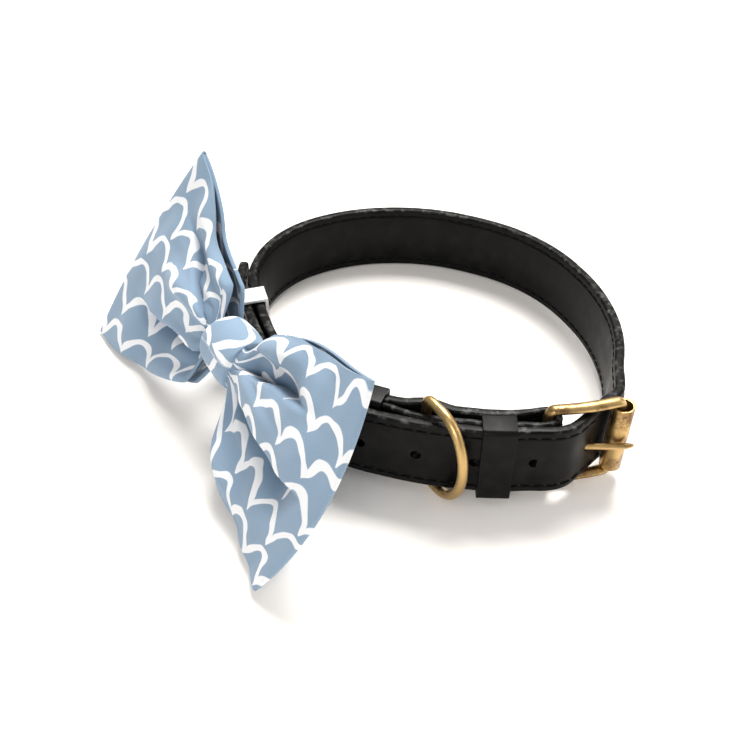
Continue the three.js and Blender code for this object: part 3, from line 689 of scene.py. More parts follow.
@dataclass
class StrapWay:
    """The strap's one long way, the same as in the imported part: fold, wrap, loop, buckle, tail."""

    gap: float = 0.3
    width: float = 25.0
    wall: float = 3.1
    fold_wall: float = 2.2
    loop_radius: float = 60.0
    step_deg: float = 6.0
    fine_step_deg: float = 3.0
    fine_until_deg: float = 60.0
    probe_deg: float = 0.5
    wrap_turns: tuple[int, ...] = (90, 60, 30, 0, -30, -60, -90)
    fold_end_deg: float = 55.0
    tail_end_deg: float = 141.0
    ring_deg: float = 32.0
    keeper_front_deg: float = 12.0
    keeper_front_width: float = 9.8
    keeper_rear_deg: float = 50.5
    keeper_reach_deg: float = 6.0
    keeper_wall: float = 1.1
    front_lift: float = 4.4
    lift_deg: float = -30.0
    tail_rest_gap: float = 1.2
    tail_end_gap: float = 1.0
    pocket_half: float = 9.0
    wrap_bulge: float = 1.95
    fold_start_deg: float = 3.0
    fold_tuck_deg: float = 8.0
    tail_start_deg: float = 4.5
    tail_tuck_deg: float = 9.0
    ring_clear_deg: float = 2.0
    tail_settle_deg: float = 20.0
    tail_ease_deg: float = 12.0
    running_gap: float = 0.35
    ring_wire: float = 3.3
    bar_diameter: float = 3.2
    frame_length: float = 22.2
    frame_deg: float = 70.7
    roller_diameter: float = 6.6
    roller_drop: float = 0.75
    skived_until_deg: float = 12.0
    smooth_steps: int = 4
    loop_rows: Table = (
        (0, 1.054), (8, 1.01), (15, 0.967), (20.5, 0.932), (32, 0.887), (43, 0.86),
        (55, 0.852), (75, 0.86), (90, 0.873), (97, 0.882), (109, 0.893), (117.7, 0.921),
        (125, 0.958), (136, 1.027), (143, 1.058), (151, 1.087), (159, 1.102), (167, 1.106),
        (175, 1.093), (189, 1.06), (203, 1.023), (217, 0.993), (232, 0.967), (248, 0.962),
        (263, 0.963), (280, 0.97), (290, 0.986), (302, 1.015), (309, 1.037), (316, 1.062),
        (323, 1.088), (330, 1.118),
    )
    threading_rows: Table = (
        (1.066, -1.35), (0.943, -1.02), (0.839, -0.73), (0.7, -0.3), (0.5, 0.3),
        (0.36, 0.68), (0.24, 0.92), (0.12, 1.02), (0.0, 1.02),
    )

    def __post_init__(self) -> None:
        """Works out the places that the rest hangs on."""
        turn = math.radians(self.frame_deg)
        self.ahead = np.array([math.cos(turn), math.sin(turn)])
        self.out = np.array([self.ahead[1], -self.ahead[0]])
        self.bar_radius = self.bar_diameter / 2
        self.wrap_radius = self.bar_radius + self.gap + self.fold_wall / 2
        bulge = self.keeper_front_width ** 2 / (8 * np.linalg.norm(
            self.loop_point(self.keeper_front_deg)))
        self.tuck = self.keeper_wall + self.gap + bulge
        self.pocket_in = self.ring_wire + 2 * self.running_gap - self.gap - self.tuck
        self.fold_out = self.wall / 2 + self.gap + self.fold_wall / 2
        self.stack_out = self.wall + self.gap + self.fold_wall + self.gap
        self.base_bar = self.spot(0, self.fold_wall / 2 + self.gap + self.bar_radius)[0]
        lift_turn = math.radians(self.lift_deg)
        self.lift_way = np.array([math.cos(lift_turn), math.sin(lift_turn)])
        self.far_edge = min(
            self.spot(at, self.wall / 2)[0] @ self.lift_way
            for at in range(self.loop_rows[-1][0]))
        clear = self.stack_out + self.keeper_wall + 2 * self.gap
        rear = self.keeper_rear_deg
        self.fold_rows = (
            (self.fold_start_deg, self.wrap_bulge * self.wrap_radius),
            (self.fold_tuck_deg, self.fold_out + self.tuck),
            (self.ring_deg + self.ring_clear_deg, self.fold_out + self.tuck),
            (rear - self.keeper_reach_deg, self.fold_out))
        self.tail_rows = (
            (self.tail_start_deg, self.stack_out + self.tuck + self.gap),
            (self.tail_tuck_deg, self.stack_out + self.tuck),
            (self.ring_deg + self.ring_clear_deg, self.stack_out + self.tuck),
            (rear - self.keeper_reach_deg, clear), (rear + self.keeper_reach_deg, clear),
            (self.fold_end_deg + self.tail_settle_deg, self.wall + self.tail_rest_gap),
            (self.tail_end_deg - self.tail_ease_deg, self.wall + self.tail_rest_gap),
            (self.tail_end_deg, self.wall + self.tail_end_gap))

    def loop_point(self, at: float) -> np.ndarray:
        """Middle of the main layer at a place round the loop, in degrees from the base bar."""
        reach = self.loop_radius * read_table(self.loop_rows, at)
        turn = math.radians(-at)
        return np.array([reach * math.cos(turn), reach * math.sin(turn)])

    def spot(self, at: float, outward: float = 0.0) -> tuple[np.ndarray, np.ndarray]:
        """Place beside the main layer's middle.

        Args:
            at: Place round the loop, in degrees.
            outward: Distance away from the neck.

        Returns:
            The point and the outward direction.
        """
        along = self.loop_point(at - self.probe_deg) - self.loop_point(at + self.probe_deg)
        along /= np.linalg.norm(along)
        normal = np.array([along[1], -along[0]])
        return self.loop_point(at) + normal * outward, normal

    def lift_at(self, point: np.ndarray) -> float:
        """Height of the strap's lower edge above the floor."""
        return self.front_lift * (point[:2] @ self.lift_way - self.far_edge) / (
            2 * self.loop_radius)

    def buckle_spot(self, forward: float, outward: float) -> np.ndarray:
        """Point in the buckle's own frame, from the base bar."""
        return self.base_bar + self.ahead * forward + self.out * outward

    def places(self, first: float, last: float) -> list[float]:
        """Places round the loop between two ends."""
        found = []
        at = first
        while at < last:
            found.append(at)
            at += self.fine_step_deg if at < self.fine_until_deg else self.step_deg
        return [*found, last]

    def tail_spot(self, at: float) -> tuple[np.ndarray, np.ndarray]:
        """Middle of the tail and its outward direction."""
        return self.spot(at, read_table(self.tail_rows, at))

    def stations(self) -> list[tuple[np.ndarray, float]]:
        """Points that the strap's middle runs through, each with the wall there."""
        found: list[tuple[np.ndarray, float]] = []
        for at in reversed(self.places(self.fold_rows[0][0], self.fold_end_deg)):
            found.append((self.spot(at, read_table(self.fold_rows, at))[0], self.fold_wall))
        for turn in self.wrap_turns:
            angle = math.radians(turn)
            found.append((self.buckle_spot(
                self.wrap_radius * math.cos(angle), self.wrap_radius * math.sin(angle)),
                self.fold_wall))
        ring_reach = np.linalg.norm(self.loop_point(self.ring_deg))
        for at in self.places(self.fine_step_deg, self.loop_rows[-1][0]):
            pocket = hump(math.radians(at - self.ring_deg) * ring_reach, self.pocket_half)
            wall = mix(self.fold_wall, self.wall, min(at / self.skived_until_deg, 1.0))
            found.append((self.spot(at, -self.pocket_in * pocket)[0], wall))
        behind = self.roller_diameter / 2 + self.running_gap + self.wall / 2
        over = self.wrap_radius + self.fold_wall / 2 + self.gap + self.wall / 2
        for share, side in self.threading_rows:
            found.append((self.buckle_spot(
                share * (self.frame_length + self.roller_drop),
                side * (behind if side < 0 else over)), self.wall))
        for at in self.places(self.tail_rows[0][0], self.tail_end_deg):
            found.append((self.tail_spot(at)[0], self.wall))
        return found

    def line(self) -> tuple[np.ndarray, np.ndarray, np.ndarray, np.ndarray]:
        """Smooth line of the strap's middle.

        Returns:
            Points, outward directions, walls and lengths from the start.
        """
        stations = self.stations()
        given = np.array([point for point, _ in stations])
        walls = np.array([wall for _, wall in stations])
        ends = np.vstack([2 * given[0] - given[1], given, 2 * given[-1] - given[-2]])
        points, ways, thick = [], [], []
        for i in range(len(given) - 1):
            p0, p1, p2, p3 = ends[i:i + 4]
            d0, d1, d2 = (max(np.linalg.norm(b - a), 1e-6) ** 0.5
                          for a, b in ((p0, p1), (p1, p2), (p2, p3)))
            first = d1 * ((p1 - p0) / d0 - (p2 - p0) / (d0 + d1) + (p2 - p1) / d1)
            second = d1 * ((p2 - p1) / d1 - (p3 - p1) / (d1 + d2) + (p3 - p2) / d2)
            last = i == len(given) - 2
            for k in range(self.smooth_steps + int(last)):
                t = k / self.smooth_steps
                square = -3 * p1 + 3 * p2 - 2 * first - second
                cube = 2 * p1 - 2 * p2 + first + second
                points.append(p1 + first * t + square * t ** 2 + cube * t ** 3)
                way = first + 2 * square * t + 3 * cube * t ** 2
                ways.append(way / np.linalg.norm(way))
                thick.append(mix(walls[i], walls[i + 1], t))
        line, along = np.array(points), np.array(ways)
        normals = np.column_stack([along[:, 1], -along[:, 0]])
        steps = np.linalg.norm(np.diff(line, axis=0), axis=1)
        return line, normals, np.array(thick), np.concatenate([[0.0], np.cumsum(steps)])


@dataclass(frozen=True)
class ProngLine:
    """The prong's straight way from the base bar over the roller."""

    diameter: float = 2.2
    slope_deg: float = 13.0

    def height(self, way: StrapWay) -> float:
        """Height of the prong above the floor."""
        return way.lift_at(way.buckle_spot(way.frame_length / 2, 0)) + way.width / 2

    def line_ends(self, way: StrapWay) -> tuple[np.ndarray, np.ndarray]:
        """Where the prong leaves its eye, and where it lies on the roller."""
        over = (way.roller_diameter / 2 + way.running_gap + self.diameter / 2) / math.cos(
            math.radians(self.slope_deg))
        far = way.frame_length + way.roller_drop
        eye = way.bar_radius + way.gap + self.diameter / 2
        ends = (way.buckle_spot(eye, over * eye / far), way.buckle_spot(far, over))
        return tuple(np.array([*end, self.height(way)]) for end in ends)


def part_origin(way: StrapWay) -> np.ndarray:
    """Where the loop's centre stands in the part's frame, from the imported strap.

    Args:
        way: The strap's way, drawn from the loop's centre.

    Returns:
        Offset in millimetres.
    """
    low, high = (np.array(corner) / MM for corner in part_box("strap"))
    line, normals, walls, _ = way.line()
    sides = np.vstack([line + normals * walls[:, None] / 2, line - normals * walls[:, None] / 2])
    levels = [way.lift_at(point) + top for point in sides for top in (0, way.width)]
    drawn = [*((sides[:, k].min() + sides[:, k].max()) / 2 for k in (0, 1)),
             (min(levels) + max(levels)) / 2]
    return (low + high) / 2 - np.array(drawn)


WAY = StrapWay()
PRONG = ProngLine()
ORIGIN = part_origin(WAY)


@dataclass
class Strap:
    """Leather strap with its holes and stitching."""

    way: StrapWay
    edge_round: float = 0.85
    round_share: float = 0.4
    corner_steps: int = 4
    hole_diameter: float = 3.4
    hole_pitch: float = 17.0
    hole_count: int = 4
    slot_length: float = 11.0
    slot_height: float = 3.4
    search_step_deg: float = 0.25
    prong_hole_share: float = 0.32
    cutter_sides: int = 32
    stitch_pitch: float = 3.9
    stitch_length: float = 3.3
    stitch_inset: float = 2.6
    thread_radius: float = 0.3
    stitch_margin: float = 4.0
    stitch_rows: tuple[tuple[float, float, float], ...] = (
        (0.0, 0.35, 0.45), (0.12, 0.9, 0.12), (0.5, 1.0, 0.0), (0.88, 0.9, 0.12),
        (1.0, 0.35, 0.45))
    stitch_sways: Table = ((0.18, 2.4), (0.08, 5.1))
    thread_sides: int = 5
    thread_proud: float = 0.02

    def section(self, wall: float) -> list[tuple[float, float]]:
        """Rounded section of the strap.

        Args:
            wall: Thickness of the leather.

        Returns:
            Offset from the middle and height of each point, once round.
        """
        radius = min(self.edge_round, self.round_share * wall)
        half, width = wall / 2, self.way.width
        corners = ((half - radius, width - radius, 90), (-half + radius, width - radius, 180),
                   (-half + radius, radius, 270), (half - radius, radius, 360))
        found = []
        for side, height, turned in corners:
            for k in range(self.corner_steps + 1):
                angle = math.radians(turned - 90 + 90 * k / self.corner_steps)
                found.append((side + radius * math.cos(angle), height + radius * math.sin(angle)))
        return found

    def build(self, finish: Material) -> Object:
        """Whole strap, cut through by its holes.

        Args:
            finish: Leather.

        Returns:
            The strap.
        """
        line, normals, walls, lengths = self.way.line()
        points, flat = [], []
        for point, normal, wall, length in zip(line, normals, walls, lengths):
            low = self.way.lift_at(point)
            for side, height in self.section(wall):
                place = point + normal * side
                points.append((place[0], place[1], low + height))
                flat.append((length, height))
        around = 4 * (self.corner_steps + 1)
        piece = make_piece("strap_leather", np.array(points) + ORIGIN,
                           grid_faces(len(line), around, closed=False), np.array(flat))
        for cutter in self.cutters():
            activate(piece)
            apply_modifier(piece, "BOOLEAN", operation="DIFFERENCE", object=cutter,
                           solver="MANIFOLD")
            bpy.data.objects.remove(cutter)
        activate(piece)
        bpy.ops.object.shade_smooth_by_angle(angle=HARD_ANGLE)
        return settle(piece, finish, Slot.LEATHER, Body.COLLAR, "strap")

    def cutters(self) -> list[Object]:
        """Solids that are cut out of the strap: prong holes, the prong's own way and its slot."""
        way = self.way
        found = []
        for number in range(1, self.hole_count + 1):
            at, run = 0.0, way.frame_length / 2 + way.gap
            while run < number * self.hole_pitch:
                before = way.tail_spot(at)[0]
                at += self.search_step_deg
                run += np.linalg.norm(way.tail_spot(at)[0] - before)
            point, normal = way.tail_spot(at)
            height = way.lift_at(point) + way.width / 2
            found.append(self.peg((*point, height), (*normal, 0.0), self.hole_diameter,
                                  way.wall + 2 * way.gap))
        start, end = PRONG.line_ends(way)
        point = start + (end - start) * self.prong_hole_share
        found.append(self.peg(tuple(point), tuple(end - start),
                              PRONG.diameter + 2 * way.running_gap, way.frame_length / 2))
        bpy.ops.mesh.primitive_cube_add(size=1.0)
        slot = bpy.context.active_object
        depth = 2 * (way.wrap_radius + way.fold_wall / 2)
        centre = Vector((*way.base_bar, PRONG.height(way))) + Vector(ORIGIN)
        slot.data.transform(Matrix.Translation(centre * MM)
                            @ Matrix.Rotation(math.radians(way.frame_deg), 4, "Z")
                            @ Matrix.Diagonal((self.slot_length * MM, depth * MM,
                                               self.slot_height * MM, 1.0)))
        return [*found, slot]

    def peg(self, centre: Sequence[float], direction: Sequence[float], diameter: float,
            length: float) -> Object:
        """Round cutter through a wall."""
        bpy.ops.mesh.primitive_cylinder_add(
            vertices=self.cutter_sides, radius=diameter / 2 * MM, depth=length * MM)
        made = bpy.context.active_object
        turn = Vector(direction).to_track_quat("Z", "Y").to_matrix().to_4x4()
        made.data.transform(Matrix.Translation((Vector(centre) + Vector(ORIGIN)) * MM) @ turn)
        return made

    def stitch(self, finish: Material) -> Object:
        """Sewing thread in a row near each edge, on both faces, each stitch sunk at its ends.

        Args:
            finish: Thread.

        Returns:
            All stitches as one piece.
        """
        line, normals, walls, lengths = self.way.line()
        around = self.thread_sides
        points: list[tuple[float, float, float]] = []
        faces: list[tuple[int, ...]] = []
        part = grid_faces(len(self.stitch_rows), around, closed=False)
        levels = (self.stitch_inset, self.way.width - self.stitch_inset)
        count = int((lengths[-1] - 2 * self.stitch_margin) / self.stitch_pitch)
        for n in range(count):
            start = self.stitch_margin + n * self.stitch_pitch
            sway = sum(reach * math.sin(turn * n) for reach, turn in self.stitch_sways)
            for side, level in ((side, level) for side in (-1, 1) for level in levels):
                base = len(points)
                for share, grow, deep in self.stitch_rows:
                    at = start + share * self.stitch_length
                    place, normal = (np.array([np.interp(at, lengths, rows[:, k]) for k in (0, 1)])
                                     for rows in (line, normals))
                    low = self.way.lift_at(place) + level + sway * (2 * share - 1)
                    reach = side * (np.interp(at, lengths, walls) / 2 + self.thread_proud
                                    - deep * self.thread_radius)
                    radius = grow * self.thread_radius
                    for k in range(around):
                        angle = 2 * math.pi * k / around
                        spot = place + normal * (reach + radius * math.cos(angle))
                        points.append((spot[0], spot[1], low + radius * math.sin(angle)))
                faces += [tuple(base + c for c in face) for face in part]
        piece = make_piece("strap_stitching", np.array(points) + ORIGIN, faces)
        return settle(piece, finish, Slot.LEATHER, Body.COLLAR)


# Hardware, keepers and elastic


@dataclass(frozen=True)
class Softened:
    """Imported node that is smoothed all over, or has only its sharp edges rounded."""

    node: str
    name: str
    slot: Slot
    body: Body = Body.COLLAR
    smooth_levels: int = 0
    edge: float = 0.0
    segments: int = 3
    sharp: float = PIECE_ANGLE
    shaded: float = HARD_ANGLE

    def build(self, finish: Material) -> Object:
        """Copy of the node in its place.

        Args:
            finish: Its material.

        Returns:
            The finished piece.
        """
        piece = copy_of_node(self.node, self.name)
        if self.smooth_levels:
            apply_modifier(piece, "SUBSURF", levels=self.smooth_levels,
                           render_levels=self.smooth_levels)
            bpy.ops.object.shade_smooth()
        else:
            apply_modifier(piece, "BEVEL", width=self.edge * MM, segments=self.segments,
                           limit_method="ANGLE", angle_limit=self.sharp)
            bpy.ops.object.shade_smooth_by_angle(angle=self.shaded)
        return settle(piece, finish, self.slot, self.body, self.node)


SOFTENED = (
    Softened("buckle_frame", "buckle_frame_brass", Slot.BRASS, smooth_levels=2),
    Softened("prong", "prong_brass", Slot.BRASS, smooth_levels=2),
    Softened("d_ring", "d_ring_brass", Slot.BRASS, Body.RING, smooth_levels=2),
    Softened("roller", "roller_brass", Slot.BRASS, edge=0.12, segments=2, sharp=HARD_ANGLE,
             shaded=math.radians(35)),
    *(Softened(node, f"{node}_leather", Slot.LEATHER, edge=0.35)
      for node in ("keeper_front", "keeper_rear")),
    *(Softened(node, f"{node}_band", Slot.ELASTIC, edge=0.2)
      for node in ("elastic_left", "elastic_right")))


# Bow tie


@dataclass(frozen=True)
class Gather:
    """Fold that runs out from the knot, a ridge above 0 and a valley below it."""

    start: float
    end: float
    until: float
    breadth: float
    depth: float


@dataclass(frozen=True)
class Crease:
    """Edge of the wing's middle panel that lies over a hollow: rows of along and across."""

    rows: Table
    depth: float
    until: float
    recovery: float = 0.3


@dataclass(frozen=True)
class Lobe:
    """Place on a wing that stands out further, in millimetres."""

    along: float
    across: float
    length: float
    breadth: float
    height: float


@dataclass(frozen=True)
class Wing:
    """One side of the bow: its outline, its gathers, its middle panel and its lobes."""

    side: int
    reach: float
    slant: float
    bulge: float
    height: float
    rise: float
    top: Table
    bottom: Table
    gathers: tuple[Gather, ...]
    pinch_until: float
    pinch_end: float
    upper: Crease
    lower: Crease
    lobes: tuple[Lobe, ...]


LEFT = Wing(
    side=-1, reach=66.5, slant=8.8, bulge=3.2, height=81.0, rise=0.5,
    top=((0, 0.18), (0.14, 0.32), (0.3, 0.39), (0.54, 0.53), (0.67, 0.7), (0.85, 0.88), (1, 1)),
    bottom=((0, 0.2), (0.14, 0.42), (0.3, 0.62), (0.54, 0.82), (0.67, 0.9), (0.85, 0.98), (1, 1)),
    gathers=(Gather(0.75, 0.62, 0.9, 0.16, -0.4), Gather(0.3, 0.22, 0.8, 0.2, 0.4),
             Gather(-0.15, -0.08, 0.7, 0.17, -0.3)),
    pinch_until=0.165, pinch_end=0.25,
    upper=Crease(((0.15, 0.1), (0.4, 0.38), (0.6, 0.58), (0.8, 0.6)), 3.4, 0.85, 0.16),
    lower=Crease(((0.15, -0.5), (0.25, -0.48), (0.4, -0.4), (0.55, -0.43), (0.7, -0.4)),
                 8.0, 0.88),
    lobes=(Lobe(0.35, -0.92, 0.35, 0.2, 2.5), Lobe(0.45, 0.85, 0.4, 0.25, 1.5),
           Lobe(0.5, 0.0, 0.4, 0.3, 1.5)))
RIGHT = Wing(
    side=1, reach=66.8, slant=-0.3, bulge=7.0, height=71.0, rise=-3.0,
    top=((0, 0.18), (0.14, 0.36), (0.36, 0.6), (0.55, 0.74), (0.8, 0.88), (1, 1)),
    bottom=((0, 0.26), (0.1, 0.6), (0.24, 0.86), (0.36, 0.93), (0.55, 0.95), (0.8, 0.96), (1, 1)),
    gathers=(Gather(0.75, 0.68, 0.8, 0.2, 0.4), Gather(-0.7, -0.6, 0.7, 0.16, -0.4)),
    pinch_until=0.09, pinch_end=0.2,
    upper=Crease(((0.1, 0.05), (0.3, 0.2), (0.4, 0.34), (0.5, 0.38), (0.75, 0.5)), 7.5, 0.75),
    lower=Crease(((0.1, -0.25), (0.38, -0.2), (0.55, -0.2), (0.7, -0.2), (0.88, -0.1)),
                 8.5, 0.94, 0.26),
    lobes=(Lobe(0.3, -0.85, 0.4, 0.35, 3.6), Lobe(0.42, 0.85, 0.35, 0.3, 2.2),
           Lobe(0.72, -0.62, 0.2, 0.3, 1.6)))


@dataclass
class BowTie:
    """Loop of printed cotton, gathered in the middle by a band of the same cloth."""

    lean_deg: float = 31.0
    wall: float = 1.3
    sweep: float = 7.0
    rise_from: float = 0.2
    puff_front: float = 7.0
    puff_back: float = 5.0
    front_shares: tuple[float, float, float] = (0.35, 0.65, 0.8)
    back_shares: tuple[float, float, float] = (0.4, 0.6, -0.25)
    edge_puff: float = 0.3
    bulge_power: float = 0.8
    outer_fold_power: int = 6
    pinch_height: float = 13.4
    pinch_depth: float = 11.6
    pinch_flatness: float = 0.75
    gather_breadth: float = 1.6
    gather_fade: float = 0.12
    crease_edge: float = 0.035
    crease_start: Range = (0.08, 0.2)
    crease_fade: float = 0.3
    overlap: float = 2.4
    # painted shade: full at the deepest hollow, with its shares in the hollows, near the knot and on
    # the whole inner face
    deepest: float = 6.0
    fold_shade: float = 0.85
    fold_shade_power: float = 1.3
    knot_shade: float = 0.4
    knot_shade_reach: float = 0.06
    inside_shade: float = 0.6
    wrinkles: tuple[tuple[float, float, float], ...] = (
        (9.0, 0.4, 1.1), (16.0, 1.9, 0.8), (29.0, 0.7, 0.35))
    wrinkle_start: Range = (0.1, 0.26)
    wrinkle_power: float = 1.6
    wrinkle_spread: float = 0.12
    wrinkle_turn: float = 2.2
    dents: tuple[tuple[float, Wave, Wave], ...] = (
        (1.1, (3.1, 7.3, 1.0, 0.0), (2.0, 9.0, 0.0, 1.7)),
        (0.55, (6.7, -11.0, 0.0, 0.0), (0.0, 13.0, 0.0, 1.1)))
    dent_start: Range = (0.3, 0.6)
    dent_end: Range = (0.85, 1.0)
    dent_end_loss: float = 0.6
    steps_along: int = 76
    steps_across: int = 110
    probe: float = 0.01
    flat_half_width: float = 38.0
    knot_width: float = 18.0
    knot_shift: float = -3.4
    knot_drop: float = 2.0
    knot_height: float = 19.6
    knot_depth: float = 17.4
    knot_crown: float = 1.7
    knot_wall: float = 1.3
    knot_narrowing: float = 0.12
    knot_crease: tuple[float, float, float] = (0.28, 9.0, 1.3)
    knot_steps: int = 96
    knot_outline: Table = (
        (-0.5, 0.0), (-0.485, 0.5), (-0.44, 0.95), (-0.36, 1.25), (-0.25, 1.43), (-0.12, 1.55),
        (0.0, 1.6), (0.12, 1.55), (0.25, 1.43), (0.36, 1.25), (0.44, 0.95), (0.485, 0.5),
        (0.5, 0.0), (0.25, -0.3), (-0.25, -0.3))

    def place(self, points: np.ndarray) -> np.ndarray:
        """Points of the bow's own frame in the part's frame.

        Args:
            points: Along the bow, up its leaning plane and out of its front.

        Returns:
            The same points in millimetres of the part's frame.
        """
        low, high = (np.array(corner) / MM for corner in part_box("bow_knot"))
        lean = math.radians(self.lean_deg)
        axes = np.array([[1.0, 0.0, 0.0], [0.0, math.sin(lean), math.cos(lean)],
                         [0.0, -math.cos(lean), math.sin(lean)]])
        return (low + high) / 2 + points @ axes

    def gathers(self, wing: Wing, along: float, across: float) -> float:
        """Height of the gathers at a place on a wing, as a share of the puff."""
        total = 0.0
        for gather in wing.gathers:
            centre = mix(gather.start, gather.end, along)
            fade = hump(along - gather.until / 2, gather.until / 2 + self.gather_fade)
            total += gather.depth * fade * hump(
                across - centre, self.gather_breadth * gather.breadth)
        return total

    def hollow(self, crease: Crease, above: bool, along: float,
               across: float) -> tuple[float, float]:
        """Hollow beside the middle panel, which reaches in under the panel's edge.

        Args:
            crease: The panel's edge.
            above: True where the hollow is above the edge.
            along: Place along the wing.
            across: Place across the wing.

        Returns:
            How far the cloth sinks, and how far it moves up the wing, in millimetres.
        """
        way = 1 if above else -1
        past = way * (across - read_table(crease.rows, along))
        fade = smoothstep(along, *self.crease_start) * (
            1 - smoothstep(along, crease.until - self.crease_fade, crease.until))
        outside = fade * smoothstep(past, -self.crease_edge, self.crease_edge)
        tucked = math.exp(-max(past, 0.0) / (2 * self.crease_edge))
        depth = crease.depth * math.exp(-max(past, 0.0) / crease.recovery)
        return outside * depth, -way * outside * tucked * self.overlap

    def wrinkle(self, wing: Wing, along: float, across: float) -> float:
        """Height in millimetres of the small wrinkles by the knot and of soft dents."""
        wrinkles = sum(
            height * math.sin(count * across * (1 + self.wrinkle_spread * along)
                              + phase * wing.side + self.wrinkle_turn * along)
            for count, phase, height in self.wrinkles)
        spot = (across, along, wing.side, 1.0)
        dents = sum(
            height * math.prod(math.sin(sum(a * b for a, b in zip(wave, spot))) for wave in waves)
            for height, *waves in self.dents)
        near = max(1 - along, 0.0) ** self.wrinkle_power * smoothstep(along, *self.wrinkle_start)
        far = smoothstep(along, *self.dent_start) * (
            1 - self.dent_end_loss * smoothstep(along, *self.dent_end))
        return near * wrinkles + far * dents

    def depth(self, turn: float, across: float) -> float:
        """Share of painted shade on the front's outer face, from 0 to 1, strongest in the hollows
        beside the middle panel and near the knot.
        """
        wing = LEFT if math.cos(turn) < 0 else RIGHT
        along = abs(math.cos(turn))
        if math.sin(turn) < 0:
            return 0.0
        sunk = min((self.hollow(wing.upper, True, along, across)[0] + self.hollow(
            wing.lower, False, along, across)[0]) / self.deepest, 1.0)
        knot = 1 - smoothstep(along, wing.pinch_until, wing.pinch_end + self.knot_shade_reach)
        return sunk ** self.fold_shade_power * self.fold_shade + self.knot_shade * knot * (
            1 - sunk)

    def point(self, turn: float, across: float) -> tuple[float, float, float]:
        """Middle of the cloth.

        Args:
            turn: Angle round the loop of cloth.
            across: Place from the lower edge, -1, to the upper edge, 1.

        Returns:
            Point in the bow's own frame.
        """
        wing = LEFT if math.cos(turn) < 0 else RIGHT
        front = math.sin(turn) >= 0
        along = abs(math.cos(turn))
        roundness = math.sqrt(max(1 - along ** self.outer_fold_power, 0.0))
        spread = read_table(wing.top if across >= 0 else wing.bottom, along) * wing.height / 2
        pinch = 1 - smoothstep(along, wing.pinch_until, wing.pinch_end)
        moved = 0.0
        tip = wing.reach - (wing.slant + wing.bulge * across) * across * along
        base, middle, gathered = self.front_shares if front else self.back_shares
        bulge = math.sin(math.pi * min(along, 1.0) ** self.bulge_power)
        puff = mix(1.0, self.edge_puff, across * across) * (
            base + middle * bulge + gathered * self.gathers(wing, along, across))
        pinched = (self.pinch_depth - self.wall) / 2 * math.sqrt(
            max(1 - (self.pinch_flatness * across) ** 2, 0.0))
        if front:
            puff = self.puff_front * puff + self.wrinkle(wing, along, across)
            for crease, above in ((wing.upper, True), (wing.lower, False)):
                sunk, shift = self.hollow(crease, above, along, across)
                puff, moved = puff - sunk, moved + shift
            for lobe in wing.lobes:
                puff += lobe.height * hump(along - lobe.along, lobe.length) * hump(
                    across - lobe.across, lobe.breadth)
        else:
            puff, pinched = -self.puff_back * puff, -pinched
        return (
            wing.side * along * tip,
            across * mix(spread, self.pinch_height / 2, pinch) - self.knot_drop * pinch
            + wing.rise * smoothstep(along, self.rise_from, 1) + moved,
            self.sweep * along * along + roundness * mix(puff, pinched, pinch))

    def turns(self) -> list[float]:
        """Angles round the loop of cloth, closer together at the knot and the outer folds."""
        shares = [0.5 - 0.5 * math.cos(math.pi * k / self.steps_along)
                  for k in range(self.steps_along + 1)]
        inward = [math.acos(share) for share in reversed(shares[1:])]
        outward = [math.acos(share) for share in shares[:-1]]
        return [*inward, *(math.pi - t for t in outward), *(math.pi + t for t in inward),
                *(2 * math.pi - t for t in outward)]

    def build_body(self, finish: Material) -> Object:
        """Cloth of both wings.

        Args:
            finish: Printed cotton.

        Returns:
            The bow's body.
        """
        rows = [-1 + 2 * j / self.steps_across for j in range(self.steps_across + 1)]
        turns, small = self.turns(), self.probe
        points, flat, deep = [], [], []
        for turn in turns:
            outer, inner = [], []
            run = math.cos(turn) * LEFT.reach
            for across in rows:
                inside = min(max(across, -1 + small), 1 - small)
                middle = np.array(self.point(turn, across))
                onward = np.array(self.point(turn + small, inside)) - self.point(
                    turn - small, inside)
                upward = np.array(self.point(turn, inside + small)) - self.point(
                    turn, inside - small)
                normal = np.cross(upward, onward)
                normal *= self.wall / 2 / np.linalg.norm(normal)
                spot = (run, across * self.flat_half_width)
                # painted shade: from depth() on the outer face, a fixed share on the inner face
                outer.append((middle + normal, spot, self.depth(turn, across)))
                inner.insert(0, (middle - normal, spot, self.inside_shade))
            for place, spot, shade in (*outer, *inner):
                points.append(place)
                flat.append(spot)
                deep.append(shade)
        piece = make_piece("bow_body_cotton", self.place(np.array(points)),
                           grid_faces(len(turns), 2 * len(rows), closed=True), np.array(flat),
                           np.array(deep))
        settle(piece, finish, Slot.COTTON, Body.COLLAR, "bow_body")
        return piece

    def build_knot(self, finish: Material) -> Object:
        """Band round the gathered middle, crowned across its width with soft creases.

        Args:
            finish: Printed cotton.

        Returns:
            The knot.
        """
        top = max(share for _, share in self.knot_outline)
        relief, count, swing = self.knot_crease
        points, flat = [], []
        for k in range(self.knot_steps):
            angle = 2 * math.pi * k / self.knot_steps
            narrow = 1 - self.knot_narrowing * math.sin(angle) ** 2
            for across, share in self.knot_outline:
                grow = -self.knot_wall
                if share > 0:
                    grow = share * self.knot_crown / top + relief * math.sin(
                        count * across + swing * math.sin(angle)) * math.cos(angle) ** 2
                half_up = self.knot_height / 2 - self.knot_crown + grow
                half_out = self.knot_depth / 2 - self.knot_crown + grow
                points.append((self.knot_shift + across * self.knot_width * narrow,
                               half_up * math.sin(angle) - self.knot_drop,
                               half_out * math.cos(angle)))
                flat.append((across * self.knot_width, angle * self.knot_height / 2))
        piece = make_piece("bow_knot_cotton", self.place(np.array(points)),
                           grid_faces(self.knot_steps, len(self.knot_outline), closed=True),
                           np.array(flat))
        settle(piece, finish, Slot.COTTON, Body.COLLAR, "bow_knot")
        return piece


# Stage


@dataclass(frozen=True)
class Lamp:
    """Square soft light that faces the object."""

    name: str
    place: tuple[float, float, float]
    size: float
    power: float
    colour: Colour


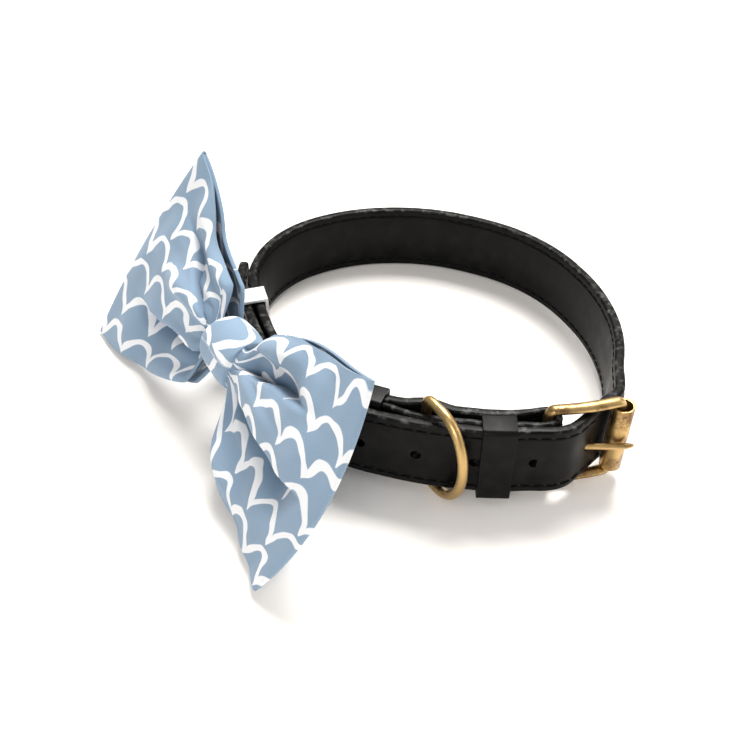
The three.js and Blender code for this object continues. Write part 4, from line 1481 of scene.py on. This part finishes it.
@dataclass(frozen=True)
class Stage:
    """Pale floor, soft light and the camera."""

    camera_at: tuple[float, float, float] = (200.0, -123.6, 214.5)
    looks_at: tuple[float, float, float] = (-11.9, -1.2, 0.0)
    lens: float = 45.42
    floor_half: float = 3.0
    floor_colour: Colour = (0.95, 0.915, 0.88)
    floor_roughness: float = 0.9
    floor_shine: float = 0.1
    sky: Colour = (1.0, 0.995, 0.985)
    sky_strength: float = 0.55
    lamps: tuple[Lamp, ...] = (
        Lamp("key", (-0.42, 0.42, 1.0), 0.5, 21.0, (1.0, 0.985, 0.96)),
        Lamp("fill", (0.75, -0.9, 0.7), 0.6, 7.5, (1.0, 0.99, 0.97)),
        Lamp("back", (0.5, 1.1, 0.5), 0.8, 4.0, (1.0, 0.985, 0.96)))

    def build(self) -> None:
        """Floor, lights, world and camera."""
        bpy.ops.mesh.primitive_plane_add(size=2 * self.floor_half)
        floor = bpy.context.active_object
        floor.name = "floor"
        material, graph, shader = new_material("floor_pale")
        graph.feed(shader, {
            "Base Color": (*self.floor_colour, 1.0), "Roughness": self.floor_roughness,
            "Specular IOR Level": self.floor_shine})
        floor.data.materials.append(material)
        for lamp in self.lamps:
            light = bpy.data.lights.new(lamp.name, "AREA")
            light.size, light.energy, light.color = lamp.size, lamp.power, lamp.colour
            self.aim(light, Vector(lamp.place), Vector((0, 0, 0)))
        world = bpy.data.worlds.new("world")
        world.use_nodes = True
        Graph(world.node_tree).feed(world.node_tree.nodes["Background"], {
            "Color": (*self.sky, 1.0), "Strength": self.sky_strength})
        bpy.context.scene.world = world
        camera = bpy.data.cameras.new("camera")
        camera.lens = self.lens
        bpy.context.scene.camera = self.aim(
            camera, Vector(self.camera_at) * MM, Vector(self.looks_at) * MM)
        bpy.context.scene.view_settings.view_transform = "Standard"

    def aim(self, data: bpy.types.ID, place: Vector, target: Vector) -> Object:
        """Puts a light or a camera at a place, looking at a target."""
        holder = bpy.data.objects.new(data.name, data)
        bpy.context.scene.collection.objects.link(holder)
        holder.location = place
        holder.rotation_mode = "QUATERNION"
        holder.rotation_quaternion = (target - place).to_track_quat("-Z", "Y")
        return holder


def main() -> None:
    """Builds the pieces in order."""
    logging.basicConfig(level=logging.INFO, format="%(message)s")
    LOG.info("origin %s", ORIGIN)
    weave, grain, scallops, edge_wear_and_highlight = (
        weave_group(), grain_group(), print_group(), edge_wear_and_highlight_group())
    leather = LeatherFinish().make(grain, edge_wear_and_highlight)
    plain_leather = LeatherFinish(name="leather_keeper", stitched=False).make(grain, edge_wear_and_highlight)
    strap = Strap(WAY)
    strap.build(leather)
    strap.stitch(ThreadFinish().make())
    finishes = {Slot.BRASS: BrassFinish().make(), Slot.LEATHER: plain_leather,
                Slot.ELASTIC: ElasticFinish().make(weave)}
    for softened in SOFTENED:
        softened.build(finishes[softened.slot])
    bow = BowTie()
    bow.build_body(CottonFinish().make(weave, scallops))
    bow.build_knot(CottonFinish(name="cotton_knot", turn=1.25).make(weave, scallops))
    Stage().build()
    bpy.context.view_layer.update()


if __name__ == "__main__":
    main()
